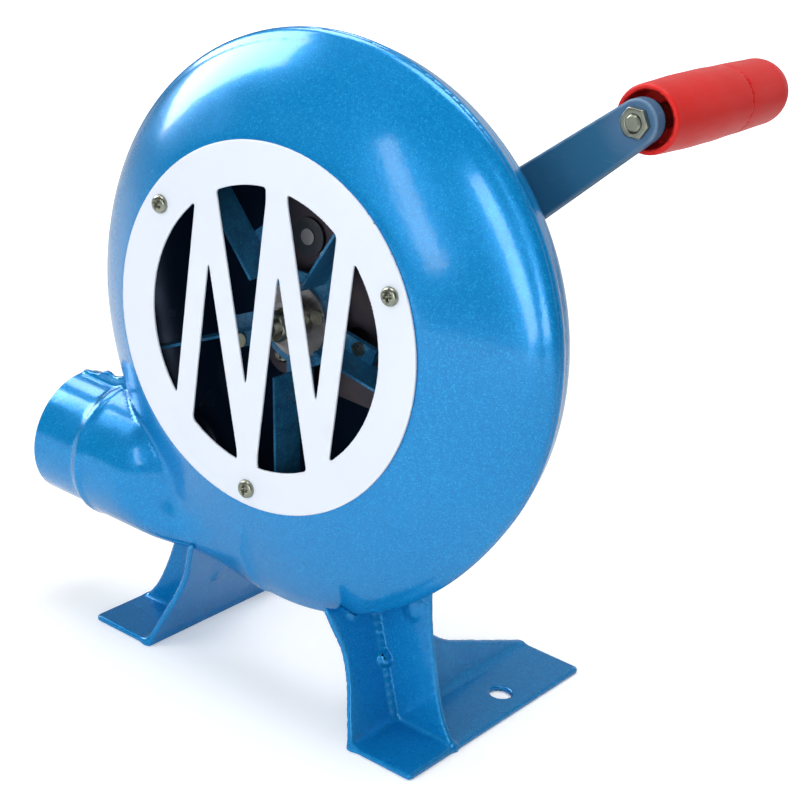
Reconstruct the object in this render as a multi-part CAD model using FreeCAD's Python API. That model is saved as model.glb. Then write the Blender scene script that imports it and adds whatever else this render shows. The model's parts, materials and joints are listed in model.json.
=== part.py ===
import FreeCAD, Part
import os
from math import acos, atan2, cos, hypot, pi, radians, sin, tan

V = FreeCAD.Vector

# A hand-cranked forge blower, in millimetres.  The pieces are drawn with y = 0 in the plane of
# the housing's seam, and moved at the end so that the origin lies on the floor midway between
# the two foot bolts, under the fan axis: +X is the housing's right, +Y the crank side, +Z up.

# ---- housing: two pressed bowls that meet at the seam, y = 0 ----
axis_height = 153.5
sheet = 1.2
front_depth = 24.1
rear_depth = 25.7
inlet_flat_radius = 68.7
inlet_radius = 55.0
rim_radius = 103.5
rim_shift_x = 5.2
rim_shift_z = 1.0
swell = 11.5
swell_start = radians(200)
swell_end = radians(335)
dome_width_power = 1.955
dome_depth_power = 1.289
rear_round = 23.8
rear_round_power = 1.25
bead_height = 0.8
bead_length = 2.4
outline_points = 36
dome_sections = 7

# ---- outlet spout ----
spout_drop = 83.1
spout_mouth_x = -110.3
spout_radius = 25.4
neck_start_x = -91.0
neck_radius = 26.6
ring_radius = 27.4
ring_width = 3.0
fin_height = 4.5
# the seam fin runs from the mouth into the bowl, rising by fin_height where the neck starts
fin_bowl_x = -80.0
fin_end_x = -72.0
fin_bowl_rise = 9.0
# the neck fades into the bowl: distance along X, half width in Y, half height, rise of its centre
neck_fade = [(-75.0, 26.6, 26.6, 0.0), (-55.0, 24.0, 26.4, 0.2), (-35.0, 18.0, 25.6, 0.8),
             (-12.0, 10.0, 23.0, 2.0)]

# ---- inlet guard ----
guard_radius = 68.0
guard_thickness = 1.0
window_radius = 52.2
window_corner_radius = 1.2
bar_width = 8.8
bar_pitch = 16.3
bar_lean = radians(9.26)
bar_turn = radians(7.8)
bar_count = 5
guard_screw_circle = 61.5
guard_screw_length = 5.5
guard_screw_angles = [radians(28.6), radians(147.2), radians(270)]

# ---- screws and nuts ----
m4_radius = 2.0
m4_hole = 2.1
m4_head_radius = 3.7
m4_head_height = 2.4
m4_nut_flats = 7.0
m4_nut_height = 3.2
recess_width = 1.1
recess_depth = 1.3

# ---- legs ----
leg_sheet = 2.5
foot_inner = 51.2
foot_outer = 80.6
foot_corner_radius = 2.0
foot_front = -15.6
foot_rear = 100.6
wall_splay = radians(20)
web_front = 12.5
leg_top = 78.0
# the wall's front and rear edges, as (distance along Y, height above the floor)
wall_front_edge = [(-9.6, 27.0), (-15.0, 53.0)]
# the wall stops short of the front bowl and reaches up only behind its rim
wall_shoulder = [(4.0, 46.5), (4.0, leg_top)]
wall_rear_edge = [(20.2, leg_top), (30.0, 39.5), (46.7, 22.0), (70.0, 13.0), (98.0, 3.6)]
# the web's outer edge, as (distance along X, height)
web_outer_top = 59.5
web_flare = [(63.0, 44.0), (68.8, 25.0), (80.2, 1.0)]
foot_hole_x = 69.5
foot_hole_y = 59.3
foot_hole_radius = 4.5

# ---- gear train: crank gear -> idler pinion, idler gear -> fan pinion ----
gear_module = 1.0
wheel_teeth = 48
pinion_teeth = 12
pressure_angle = radians(25)
tooth_thinning = 0.06
gear_spacing = gear_module * (wheel_teeth + pinion_teeth) / 2
# directions: from the fan axis to the idler, and from the idler to the crank
idler_angle = radians(95)
crank_angle = radians(-13.5)
shaft_radius = 3.0
crank_shaft_radius = 5.0
press_gap = 0.02
run_gap = 0.05

# ---- gear cage, front to rear ----
cage_corner_radius = 8.0
plate_thickness = 2.0
front_plate_y = 1.0
middle_plate_y = 11.0
middle_plate_thickness = 1.5
rear_plate_y = 20.5
cage_bolt_places = [(-14.0, 62.0), (-9.0, -17.0), (40.0, -18.0), (52.0, 50.0)]
spacer_radius = 4.0
# lightening holes in the front plate: (x, z, radius)
front_plate_holes = [(24.4, -4.0, 7.0), (3.0, 14.0, 4.5)]
wheel_hole_count = 5
wheel_hole_circle = 14.0
wheel_hole_radius = 4.5
bush_radius = 5.0
bush_flange_radius = 7.0
bush_flange = 1.0
first_stage_y = 4.5
second_stage_y = 14.0
pinion_width = 5.0
wheel_width = 4.0

# ---- impeller ----
fan_radius = 76.0
blade_count = 5
first_blade_angle = radians(61.6)
blade_front_y = -18.0
blade_rear_y = -4.2
blade_thickness = 1.0
blade_inner_radius = 17.0
spider_radius = 18.0
spider_arm_length = 36.0
spider_arm_width = 12.0
spider_thickness = 1.2
blade_rivet_circle = 29.0
rivet_radius = 1.5
hub_radius = 8.0
hub_flange_radius = 14.0
hub_flange = 2.0
hub_front_y = -13.0
hub_rivet_circle = 11.0
hub_rivet_count = 4
m6_nut_flats = 10.0
m6_nut_height = 5.0

# ---- crank ----
bearing_radius = 8.0
bearing_flange_radius = 16.0
bearing_flange = 2.5
bearing_start_y = 19.5
bearing_end_y = 31.0
bearing_screw_circle = 12.2
bearing_screw_angles = [radians(90), radians(210), radians(330)]
crank_washer_thickness = 1.2
crank_washer_gauge = 1.6
crank_collar_radius = 7.0
arm_front_y = 36.0
arm_thickness = 6.0
arm_reach_x = 102.2
arm_reach_z = 92.4
arm_big_radius = 12.0
arm_small_radius = 8.0
arm_flats = 7.5
m8_thread_radius = 3.75
m8_nut_flats = 13.0
m8_nut_height = 6.5

# ---- grip ----
grip_front_y = 42.6
grip_belly_y = 78.0
grip_joint_y = 96.0
grip_end_y = 133.0
grip_front_radius = 12.1
grip_belly_radius = 12.9
grip_joint_radius = 12.6
grip_lip = 1.0
grip_groove = 0.4
grip_cup_radius = 10.0
grip_cup_depth = 13.0
spindle_radius = 4.0
spindle_collar_radius = 6.5
spindle_head_radius = 6.5
spindle_head_height = 4.0
spindle_end_y = 93.4
# a thin nut, with the end of the spindle just proud of it
handle_nut_height = 2.4
spindle_nose = 0.6
spindle_washer_gauge = 1.2
cap_floor = 2.0
cap_edge_radius = 12.2
grip_dome_length = 12.5
dome_radius_power = 0.8
dome_length_power = 1.1
cap_spigot_length = 2.0
cap_spigot_radius = 9.5
cap_pocket_radius = 7.2


idler_x = gear_spacing * cos(idler_angle)
idler_z = gear_spacing * sin(idler_angle)
crank_x = idler_x + gear_spacing * cos(crank_angle)
crank_z = idler_z + gear_spacing * sin(crank_angle)


def rod(radius, y_from, y_to, x=0.0, z=0.0):
    """A round bar along Y; x and z are measured from the fan axis."""
    return Part.makeCylinder(radius, y_to - y_from, V(x, y_from, axis_height + z), V(0, 1, 0))


def ring(outer, inner, y_from, y_to, x=0.0, z=0.0):
    return rod(outer, y_from, y_to, x, z).cut(rod(inner, y_from, y_to, x, z))


def prism(edges, y_from, y_to):
    """Sweep a closed outline drawn at y = y_from along Y."""
    face = Part.Face(Part.Wire(Part.__sortEdges__(edges)))
    return face.extrude(V(0, y_to - y_from, 0))


def polygon_prism(points, y_from, y_to):
    """A prism from (x, z) corners measured from the fan axis."""
    corners = [V(x, y_from, axis_height + z) for x, z in points]
    return Part.Face(Part.makePolygon(corners + corners[:1])).extrude(V(0, y_to - y_from, 0))


def hex_prism(flats, y_from, y_to, x=0.0, z=0.0):
    """A hexagon bar with its outer corners turned down at both ends."""
    across = flats / 2 / cos(pi / 6)
    corners = [(x + across * cos(pi * k / 3), z + across * sin(pi * k / 3)) for k in range(6)]
    bar = polygon_prism(corners, y_from, y_to)
    chamfer = across - flats / 2
    envelope = rod(across, y_from, y_to, x, z)
    envelope = envelope.makeChamfer(chamfer * 0.98, [envelope.Edges[0], envelope.Edges[2]])
    return bar.common(envelope)


def polar(radius, angle):
    return radius * cos(angle), radius * sin(angle)


def turned(profile, x=0.0, z=0.0):
    """Turn a half profile of (radius, y) pairs around an axis along Y."""
    points = [V(x + r, y, axis_height + z) for r, y in profile]
    face = Part.Face(Part.makePolygon(points + points[:1]))
    return face.revolve(V(x, 0, axis_height + z), V(0, 1, 0), 360)


def pan_screw(x, z, seat_y, length, direction):
    """A cross-recessed pan screw; direction is -1 when its head faces the front."""
    head_y = seat_y + direction * m4_head_height
    tip_y = seat_y - direction * length
    head = rod(m4_head_radius, min(seat_y, head_y), max(seat_y, head_y), x, z)
    top_edge = [e for e in head.Edges if abs(e.CenterOfMass.y - head_y) < 1e-6 and e.Closed]
    head = head.makeFillet(m4_head_height * 0.6, top_edge)
    shank = rod(m4_radius, min(seat_y, tip_y), max(seat_y, tip_y), x, z)
    screw = head.fuse(shank)
    reach = m4_head_radius * 0.55
    floor_y = head_y - direction * recess_depth
    y_from = min(head_y, floor_y)
    y_to = max(head_y, floor_y)
    for half_x, half_z in ((reach, recess_width / 2), (recess_width / 2, reach)):
        corners = [(x - half_x, z - half_z), (x + half_x, z - half_z),
                   (x + half_x, z + half_z), (x - half_x, z + half_z)]
        screw = screw.cut(polygon_prism(corners, y_from, y_to))
    return screw


# ---- housing ----
def rim_point(angle, grow=0.0):
    """The scroll outline at the seam, in (x, z) from the fan axis."""
    radius = rim_radius + grow
    if swell_start < angle < swell_end:
        turn = 2 * pi * (angle - swell_start) / (swell_end - swell_start)
        radius += swell * (1 - cos(turn)) / 2
    return rim_shift_x + radius * cos(angle), rim_shift_z + radius * sin(angle)


def closed_curve(points):
    curve = Part.BSplineCurve()
    curve.interpolate(Points=points, PeriodicFlag=True)
    return Part.Wire([curve.toShape()])


def outline(place):
    """A closed curve through place(angle), taken at even angles."""
    angles = [2 * pi * k / outline_points for k in range(outline_points)]
    return closed_curve([place(a) for a in angles])


def dome_section(step, inset):
    """One slice of the front bowl; inset is zero outside and the sheet thickness inside."""
    weight = sin(step) ** dome_width_power
    y = -front_depth * max(cos(step), 0.0) ** dome_depth_power + inset * (1 - sin(step))

    def place(angle):
        rim_x, rim_z = rim_point(angle)
        flat_x, flat_z = polar(inlet_flat_radius, angle)
        x = flat_x + weight * (rim_x - flat_x) - inset * cos(angle)
        z = flat_z + weight * (rim_z - flat_z) - inset * sin(angle)
        return V(x, y, axis_height + z)

    return outline(place)


def back_section(step, inset):
    """One slice of the rear bowl."""
    shrink = rear_round * (1 - max(cos(step), 0.0) ** rear_round_power) + inset
    y = (rear_depth - inset) * sin(step)

    def place(angle):
        x, z = rim_point(angle, -shrink)
        return V(x, y, axis_height + z)

    return outline(place)


def bowl(section, inset):
    steps = [pi / 2 * k / (dome_sections - 1) for k in range(dome_sections)]
    return Part.makeLoft([section(s, inset) for s in steps], True, False)


def rim_bead(side):
    """The rolled lip beside the seam; side is -1 on the front bowl and 1 on the rear."""
    stations = [(0.0, 0.1), (0.3 * bead_length, bead_height), (bead_length, bead_height),
                (1.5 * bead_length, -0.4)]
    wires = []
    for distance, height in stations:
        def place(angle, distance=distance, height=height):
            x, z = rim_point(angle, height)
            return V(x, side * distance, axis_height + z)
        wires.append(outline(place))
    return Part.makeLoft(wires, True, True)


def spout_bar(radius, x_from, x_to):
    start = V(x_from, 0, axis_height - spout_drop)
    return Part.makeCylinder(radius, x_to - x_from, start, V(1, 0, 0))


def neck(inset):
    """The neck from its mouth to where it is lost inside the bowl."""
    wires = []
    stations = [(neck_start_x, neck_radius, neck_radius, 0.0)] + neck_fade
    for x, half_width, half_height, rise in stations:
        def place(angle, x=x, w=half_width - inset, h=half_height - inset, rise=rise):
            return V(x, w * cos(angle), axis_height - spout_drop + rise + h * sin(angle))
        wires.append(outline(place))
    return Part.makeLoft(wires, True, False)


def seam_fin():
    """The flat seam flange on top of the spout, running into the bowl."""
    top = neck_radius + fin_height - spout_drop
    tip = spout_radius + fin_height * 0.5 - spout_drop
    points = [(spout_mouth_x + 1.0, spout_radius - spout_drop), (spout_mouth_x + 1.0, tip),
              (neck_start_x, top), (fin_bowl_x, top + fin_bowl_rise),
              (fin_end_x, top + fin_bowl_rise), (fin_end_x, -spout_drop)]
    return polygon_prism(points, -sheet, sheet)


def half_space(side):
    box = Part.makeBox(400, 200, 400, V(-200, 0 if side > 0 else -200, -50))
    return box


def housing_solids():
    """Outer and inner forms of each bowl with its half of the spout."""
    outer_spout = spout_bar(spout_radius, spout_mouth_x, neck_start_x + 1)
    outer_spout = outer_spout.fuse(spout_bar(ring_radius, neck_start_x, neck_start_x + ring_width))
    outer_spout = outer_spout.fuse(neck(0.0))
    inner_spout = spout_bar(spout_radius - sheet, spout_mouth_x - 1, neck_start_x + 2)
    inner_spout = inner_spout.fuse(neck(sheet))
    forms = {}
    for side, section in ((-1, dome_section), (1, back_section)):
        outer = bowl(section, 0.0).fuse(rim_bead(side))
        outer = outer.fuse(outer_spout.common(half_space(side)))
        inner = bowl(section, sheet).fuse(inner_spout.common(half_space(side)))
        forms[side] = (outer, inner)
    return forms


def front_shell(forms):
    outer, inner = forms[-1]
    fin = seam_fin().common(half_space(-1))
    shell = outer.fuse(fin).cut(inner)
    shell = shell.cut(rod(inlet_radius, -front_depth - 2, -front_depth / 2))
    for angle in guard_screw_angles:
        x, z = polar(guard_screw_circle, angle)
        shell = shell.cut(rod(m4_radius + press_gap, -front_depth - 2, -front_depth + 8, x, z))
    return shell


def rear_shell(forms):
    outer, inner = forms[1]
    fin = seam_fin().common(half_space(1))
    shell = outer.fuse(fin).cut(inner)
    hole_radius = bearing_radius + run_gap
    shell = shell.cut(rod(hole_radius, rear_depth - 4, rear_depth + 2, crank_x, crank_z))
    for x, z in cage_bolt_places:
        shell = shell.cut(rod(m4_hole, rear_depth - 4, rear_depth + 2, x, z))
    for x, z in bearing_screw_places():
        shell = shell.cut(rod(m4_hole, rear_depth - 4, rear_depth + 2, x, z))
    return shell


# ---- inlet guard ----
def guard_bar(index):
    """One straight bar of the zigzag; neighbours lean opposite ways."""
    lean = bar_lean if index % 2 == 0 else -bar_lean
    middle = (index - (bar_count - 1) / 2) * bar_pitch
    half = bar_width / 2 / cos(bar_lean)
    reach = window_radius + 6
    slide = reach * tan(lean)
    corners = [(middle - half - slide, -reach), (middle + half - slide, -reach),
               (middle + half + slide, reach), (middle - half + slide, reach)]
    turn = cos(bar_turn), sin(bar_turn)
    turned_corners = [(x * turn[0] - z * turn[1], x * turn[1] + z * turn[0]) for x, z in corners]
    front = -front_depth - guard_thickness
    return polygon_prism(turned_corners, front, -front_depth)


def inlet_guard():
    """A disc with six windows; what is left between them is the zigzag."""
    front = -front_depth - guard_thickness
    openings = rod(window_radius, front, -front_depth)
    for index in range(bar_count):
        openings = openings.cut(guard_bar(index))
    guard = rod(guard_radius, front, -front_depth)
    for window in openings.Solids:
        outline_face = min(window.Faces, key=lambda face: face.CenterOfMass.y)
        # shrinking and growing the outline by one radius rounds its corners
        rounded = outline_face.makeOffset2D(-window_corner_radius)
        rounded = rounded.makeOffset2D(window_corner_radius)
        guard = guard.cut(Part.Face(rounded.Wires).extrude(V(0, guard_thickness, 0)))
    for angle in guard_screw_angles:
        x, z = polar(guard_screw_circle, angle)
        guard = guard.cut(rod(m4_hole, front - 1, -front_depth + 1, x, z))
    return guard


def guard_screws():
    seat = -front_depth - guard_thickness
    places = [polar(guard_screw_circle, angle) for angle in guard_screw_angles]
    return Part.makeCompound([pan_screw(x, z, seat, guard_screw_length, -1) for x, z in places])


# ---- legs ----
def wall_point(y, z):
    """A point on the inner face of the splayed wall."""
    return V(foot_inner - z * tan(wall_splay), y, z)


def right_leg_blank():
    base = Part.makeBox(foot_outer - foot_inner, foot_rear - foot_front, leg_sheet,
                        V(foot_inner, foot_front, 0))
    corner_edges = [e for e in base.Edges if e.BoundBox.ZLength > leg_sheet * 0.9]
    base = base.makeFillet(foot_corner_radius, corner_edges)
    hole = Part.makeCylinder(foot_hole_radius, leg_sheet * 2, V(foot_hole_x, foot_hole_y, -1))
    return base.cut(hole).fuse(leg_wall()).fuse(leg_web())


def leg_wall():
    """The splayed side wall, with a hollow front edge and a long hollow rear edge."""
    front_points = [wall_point(foot_front, 0)] + [wall_point(y, z) for y, z in wall_front_edge]
    front = Part.Arc(*front_points).toShape()
    rear_points = [wall_point(y, z) for y, z in wall_rear_edge]
    rear = Part.BSplineCurve()
    rear.interpolate(rear_points)
    corners = [rear_points[-1], wall_point(foot_rear - foot_corner_radius, 0), front_points[0]]
    top = [front_points[-1]] + [wall_point(y, z) for y, z in wall_shoulder] + [rear_points[0]]
    edges = [front, rear.toShape()]
    edges += [Part.makeLine(a, b) for a, b in zip(top, top[1:])]
    edges += [Part.makeLine(a, b) for a, b in zip(corners, corners[1:])]
    normal = V(cos(wall_splay), 0, sin(wall_splay))
    wall = Part.Face(Part.Wire(Part.__sortEdges__(edges))).extrude(normal * leg_sheet)
    above_floor = Part.makeBox(200, 300, 200, V(-50, -100, 0))
    return wall.common(above_floor)


def leg_web():
    """The cross web between the wall and the foot, flared at its outer edge."""
    flare_points = [V(x, web_front, z) for x, z in web_flare]
    toe_z = flare_points[-1].z
    heel = V(foot_inner + 1, web_front, toe_z)
    inner_top = V(foot_inner - leg_top * tan(wall_splay) + 1, web_front, leg_top)
    outer_top = V(web_outer_top, web_front, leg_top)
    corners = [flare_points[-1], heel, inner_top, outer_top, flare_points[0]]
    edges = [Part.makeLine(a, b) for a, b in zip(corners, corners[1:])]
    edges.append(Part.Arc(*flare_points).toShape())
    return prism(edges, web_front, web_front + leg_sheet)


def leg(side, forms):
    """side is 1 for the right leg and -1 for its mirror image."""
    blank = right_leg_blank()
    if side < 0:
        blank = blank.mirror(V(0, 0, 0), V(1, 0, 0))
    for outer, inner in forms.values():
        blank = blank.cut(outer)
    return max(blank.Solids, key=lambda solid: solid.Volume)


# ---- gears ----
def involute(angle):
    return tan(angle) - angle


def gear(teeth, width, y_from, bore, x=0.0, z=0.0, phase=0.0):
    """An involute spur gear with one tooth centred on the angle phase."""
    pitch = gear_module * teeth / 2
    base = pitch * cos(pressure_angle)
    tip = pitch + gear_module
    root = pitch - 1.25 * gear_module
    flank_start = max(base, root)
    half_at_pitch = pi / (2 * teeth) - tooth_thinning / (2 * pitch)

    def half_angle(radius):
        return half_at_pitch + involute(pressure_angle) - involute(acos(base / radius))

    def place(radius, angle):
        return V(x + radius * cos(angle), y_from, axis_height + z + radius * sin(angle))

    def flank(centre, side):
        radii = [flank_start + (tip - flank_start) * k / 4 for k in range(5)]
        curve = Part.BSplineCurve()
        curve.interpolate([place(r, centre + side * half_angle(r)) for r in radii])
        return curve.toShape()

    def arc(radius, first, last):
        middle = (first + last) / 2
        return Part.Arc(place(radius, first), place(radius, middle), place(radius, last)).toShape()

    edges = []
    step = 2 * pi / teeth
    for k in range(teeth):
        centre = phase + k * step
        foot = half_angle(flank_start)
        crest = half_angle(tip)
        edges.append(flank(centre, -1))
        edges.append(arc(tip, centre - crest, centre + crest))
        edges.append(flank(centre, 1))
        if root < base:
            for side in (-1, 1):
                edge_angle = centre + side * foot
                edges.append(Part.makeLine(place(root, edge_angle), place(base, edge_angle)))
        edges.append(arc(root, centre + foot, centre + step - foot))
    body = prism(edges, y_from, y_from + width)
    return body.cut(rod(bore, y_from - 1, y_from + width + 1, x, z))


wheel_gap = (pinion_width - wheel_width) / 2
half_wheel_pitch = pi / wheel_teeth


def fan_pinion():
    """A tooth of the fan pinion points at the idler."""
    bore = shaft_radius + press_gap
    return gear(pinion_teeth, pinion_width, first_stage_y, bore, phase=idler_angle)


def lightening(shape, x, z, y_from):
    """Round holes between the hub and the teeth of a wheel."""
    for k in range(wheel_hole_count):
        dx, dz = polar(wheel_hole_circle, 2 * pi * k / wheel_hole_count)
        hole = rod(wheel_hole_radius, y_from - 1, y_from + wheel_width + 1, x + dx, z + dz)
        shape = shape.cut(hole)
    return shape


def idler_gear():
    """A tooth gap of the idler gear faces back at the fan pinion."""
    phase = idler_angle + pi + half_wheel_pitch
    y_from = first_stage_y + wheel_gap
    wheel = gear(wheel_teeth, wheel_width, y_from, shaft_radius + press_gap,
                 idler_x, idler_z, phase)
    return lightening(wheel, idler_x, idler_z, y_from)


def idler_pinion():
    """A tooth of the idler pinion points at the crank shaft."""
    bore = shaft_radius + press_gap
    return gear(pinion_teeth, pinion_width, second_stage_y, bore, idler_x, idler_z,
                crank_angle)


def crank_gear():
    """A tooth gap of the crank gear faces the idler pinion."""
    y_from = second_stage_y + wheel_gap
    wheel = gear(wheel_teeth, wheel_width, y_from, crank_shaft_radius + press_gap,
                 crank_x, crank_z, crank_angle + pi + half_wheel_pitch)
    return lightening(wheel, crank_x, crank_z, y_from)


# ---- gear cage ----
def cage_plate(y_from, thickness, holes):
    """A plate with rounded corners around the cage bolts."""
    corners = [V(x, y_from, axis_height + z) for x, z in cage_bolt_places]
    edge = Part.makePolygon(corners + corners[:1]).makeOffset2D(cage_corner_radius)
    plate = Part.Face(edge).extrude(V(0, thickness, 0))
    bolt_holes = [(x, z, m4_hole) for x, z in cage_bolt_places]
    for x, z, radius in bolt_holes + holes:
        plate = plate.cut(rod(radius, y_from - 1, y_from + thickness + 1, x, z))
    return plate


def front_gear_plate():
    holes = [(0.0, 0.0, bush_radius + press_gap), (idler_x, idler_z, bush_radius + press_gap)]
    return cage_plate(front_plate_y, plate_thickness, holes + front_plate_holes)


def middle_gear_plate():
    holes = [(0.0, 0.0, bush_radius + press_gap), (crank_x, crank_z, bush_radius + press_gap),
             (idler_x, idler_z, shaft_radius + 1.5)]
    return cage_plate(middle_plate_y, middle_plate_thickness, holes)


def rear_gear_plate():
    holes = [(crank_x, crank_z, bearing_radius + press_gap),
             (idler_x, idler_z, bush_radius + press_gap)]
    holes += [(x, z, m4_radius + press_gap) for x, z in bearing_screw_places()]
    return cage_plate(rear_plate_y, plate_thickness, holes)


def flanged_bush(y_flange, y_from, y_to, x=0.0, z=0.0):
    """A plain bush whose flange spans bush_flange from y_flange."""
    body = rod(bush_radius, y_from, y_to, x, z)
    flange = rod(bush_flange_radius, y_flange, y_flange + bush_flange, x, z)
    bore = rod(shaft_radius + run_gap, min(y_from, y_flange) - 1, y_to + 2, x, z)
    return body.fuse(flange).cut(bore)


def fan_front_bush():
    return flanged_bush(front_plate_y - bush_flange, front_plate_y - bush_flange,
                        first_stage_y - 0.3)


def idler_front_bush():
    return flanged_bush(front_plate_y - bush_flange, front_plate_y - bush_flange,
                        first_stage_y - 0.3, idler_x, idler_z)


def middle_bush(x, z):
    y_from = middle_plate_y - bush_flange
    return flanged_bush(y_from, y_from, second_stage_y - 0.3, x, z)


def fan_rear_bush():
    return middle_bush(0.0, 0.0)


def crank_front_bush():
    return middle_bush(crank_x, crank_z)


def idler_rear_bush():
    y_to = rear_plate_y + plate_thickness + 1.4
    return flanged_bush(rear_plate_y - bush_flange, rear_plate_y - bush_flange, y_to,
                        idler_x, idler_z)


def bearing_screw_places():
    offsets = [polar(bearing_screw_circle, angle) for angle in bearing_screw_angles]
    return [(crank_x + dx, crank_z + dz) for dx, dz in offsets]


def spacers(y_from, y_to):
    return Part.makeCompound([ring(spacer_radius, m4_hole, y_from, y_to, x, z)
                              for x, z in cage_bolt_places])


def front_spacers():
    return spacers(front_plate_y + plate_thickness, middle_plate_y)


def middle_spacers():
    return spacers(middle_plate_y + middle_plate_thickness, rear_plate_y)


def rear_spacers():
    return spacers(rear_plate_y + plate_thickness, rear_depth - sheet)


def cage_bolts():
    length = rear_depth + m4_nut_height + 1.5 - front_plate_y
    return Part.makeCompound([pan_screw(x, z, front_plate_y, length, -1)
                              for x, z in cage_bolt_places])


def cage_nuts():
    solids = []
    for x, z in cage_bolt_places:
        nut = hex_prism(m4_nut_flats, rear_depth, rear_depth + m4_nut_height, x, z)
        solids.append(nut.cut(rod(m4_radius + press_gap, rear_depth - 1, rear_depth + 8, x, z)))
    return Part.makeCompound(solids)


# ---- impeller ----
def fan_shaft():
    return rod(shaft_radius, hub_front_y - m6_nut_height - 3.0, second_stage_y - 0.2)


def blade_angle(index):
    return first_blade_angle + 2 * pi * index / blade_count


def spider_arm(index):
    angle = blade_angle(index)
    half = spider_arm_width / 2
    corners = [(0, -half), (spider_arm_length, -half), (spider_arm_length, half), (0, half)]
    turned_corners = [(x * cos(angle) - z * sin(angle), x * sin(angle) + z * cos(angle))
                      for x, z in corners]
    return polygon_prism(turned_corners, blade_rear_y, blade_rear_y + spider_thickness)


def fan_spider():
    rear = blade_rear_y + spider_thickness
    spider = rod(spider_radius, blade_rear_y, rear)
    for index in range(blade_count):
        spider = spider.fuse(spider_arm(index))
    spider = spider.removeSplitter().cut(rod(shaft_radius + run_gap, blade_rear_y - 1, rear + 1))
    for index in range(blade_count):
        x, z = blade_rivet_place(index)
        spider = spider.cut(rod(rivet_radius + press_gap, blade_rear_y - 1, rear + 1, x, z))
    for index in range(hub_rivet_count):
        x, z = hub_rivet_place(index)
        spider = spider.cut(rod(rivet_radius + press_gap, blade_rear_y - 1, rear + 1, x, z))
    return spider


def blade_rivet_place(index):
    angle = blade_angle(index)
    side = spider_arm_width * 0.27
    x, z = polar(blade_rivet_circle, angle)
    return x - side * sin(angle), z + side * cos(angle)


def hub_rivet_place(index):
    return polar(hub_rivet_circle, 2 * pi * (index + 0.25) / hub_rivet_count)


def fan_blade(index):
    """A flat radial blade with a foot bent over onto the spider arm."""
    angle = blade_angle(index)
    inner = blade_inner_radius + 2
    plate = Part.makeBox(fan_radius - inner, blade_rear_y - blade_front_y, blade_thickness,
                         V(inner, blade_front_y, axis_height - blade_thickness))
    tip_edges = [e for e in plate.Edges
                 if e.BoundBox.ZLength > blade_thickness * 0.9 and e.BoundBox.XMin > fan_radius - 1]
    plate = plate.makeFillet(4.0, tip_edges)
    foot = Part.makeBox(spider_arm_length - inner, blade_thickness, spider_arm_width * 0.5,
                        V(inner, blade_rear_y - blade_thickness, axis_height))
    blade = plate.fuse(foot).removeSplitter()
    blade.rotate(V(0, 0, axis_height), V(0, 1, 0), -angle * 180 / pi)
    x, z = blade_rivet_place(index)
    return blade.cut(rod(rivet_radius + press_gap, blade_rear_y - 3, blade_rear_y + 1, x, z))


def fan_blades():
    return Part.makeCompound([fan_blade(k) for k in range(blade_count)])


def rivet(x, z, y_from, y_to):
    """A plain rivet with a flat head at the front and a clenched one behind."""
    shank = rod(rivet_radius, y_from, y_to, x, z)
    head = rod(rivet_radius * 1.8, y_from - 1.0, y_from, x, z)
    tail = rod(rivet_radius * 1.6, y_to, y_to + 0.5, x, z)
    return shank.fuse(head).fuse(tail)


def blade_rivets():
    rear = blade_rear_y + spider_thickness
    places = [blade_rivet_place(k) for k in range(blade_count)]
    return Part.makeCompound([rivet(x, z, blade_rear_y - blade_thickness, rear)
                              for x, z in places])


def hub_rivets():
    rear = blade_rear_y + spider_thickness
    places = [hub_rivet_place(k) for k in range(hub_rivet_count)]
    return Part.makeCompound([rivet(x, z, blade_rear_y - hub_flange, rear) for x, z in places])


def fan_hub():
    flange = rod(hub_flange_radius, blade_rear_y - hub_flange, blade_rear_y)
    hub = rod(hub_radius, hub_front_y, blade_rear_y).fuse(flange)
    hub = hub.cut(rod(shaft_radius + press_gap, hub_front_y - 1, blade_rear_y + 1))
    for index in range(hub_rivet_count):
        x, z = hub_rivet_place(index)
        hub = hub.cut(rod(rivet_radius + press_gap, blade_rear_y - 4, blade_rear_y + 1, x, z))
    return hub


def fan_washer():
    return ring(6.0, shaft_radius + run_gap, hub_front_y - 1.0, hub_front_y)


def fan_nut():
    rear = hub_front_y - 1.0
    nut = hex_prism(m6_nut_flats, rear - m6_nut_height, rear)
    return nut.cut(rod(shaft_radius + press_gap, rear - 10, rear + 1))


# ---- idler and crank shafts ----
def idler_shaft():
    return rod(shaft_radius, front_plate_y - bush_flange - 0.5, rear_plate_y + plate_thickness + 1.2,
               idler_x, idler_z)


def arm_place(shape):
    """Move a shape drawn along +X from the fan axis so that it lies along the crank arm."""
    angle = atan2(arm_reach_z - crank_z, arm_reach_x - crank_x)
    shape.rotate(V(0, 0, axis_height), V(0, 1, 0), -angle * 180 / pi)
    shape.translate(V(crank_x, 0, crank_z))
    return shape


def flatted_bar(radius, flats, y_from, y_to):
    """A round bar with two flats that lie along the crank arm."""
    box = Part.makeBox(4 * radius, y_to - y_from, flats,
                       V(-2 * radius, y_from, axis_height - flats / 2))
    return arm_place(rod(radius, y_from, y_to).common(box))


def crank_rod(radius, y_from, y_to):
    return rod(radius, y_from, y_to, crank_x, crank_z)


def crank_shaft():
    """Nose in the middle bush, journal in the bearing, collar, flats for the arm, thread."""
    collar_y = bearing_end_y + crank_washer_thickness + 0.4
    arm_rear_y = arm_front_y + arm_thickness
    end_y = arm_rear_y + crank_washer_gauge + m8_nut_height + 2.0
    shaft = crank_rod(shaft_radius, middle_plate_y - 0.5, second_stage_y)
    shaft = shaft.fuse(crank_rod(crank_shaft_radius, second_stage_y, collar_y))
    shaft = shaft.fuse(crank_rod(crank_collar_radius, collar_y, arm_front_y))
    shaft = shaft.fuse(flatted_bar(crank_shaft_radius, arm_flats, arm_front_y, arm_rear_y))
    return shaft.fuse(crank_rod(m8_thread_radius, arm_rear_y, end_y))


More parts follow.
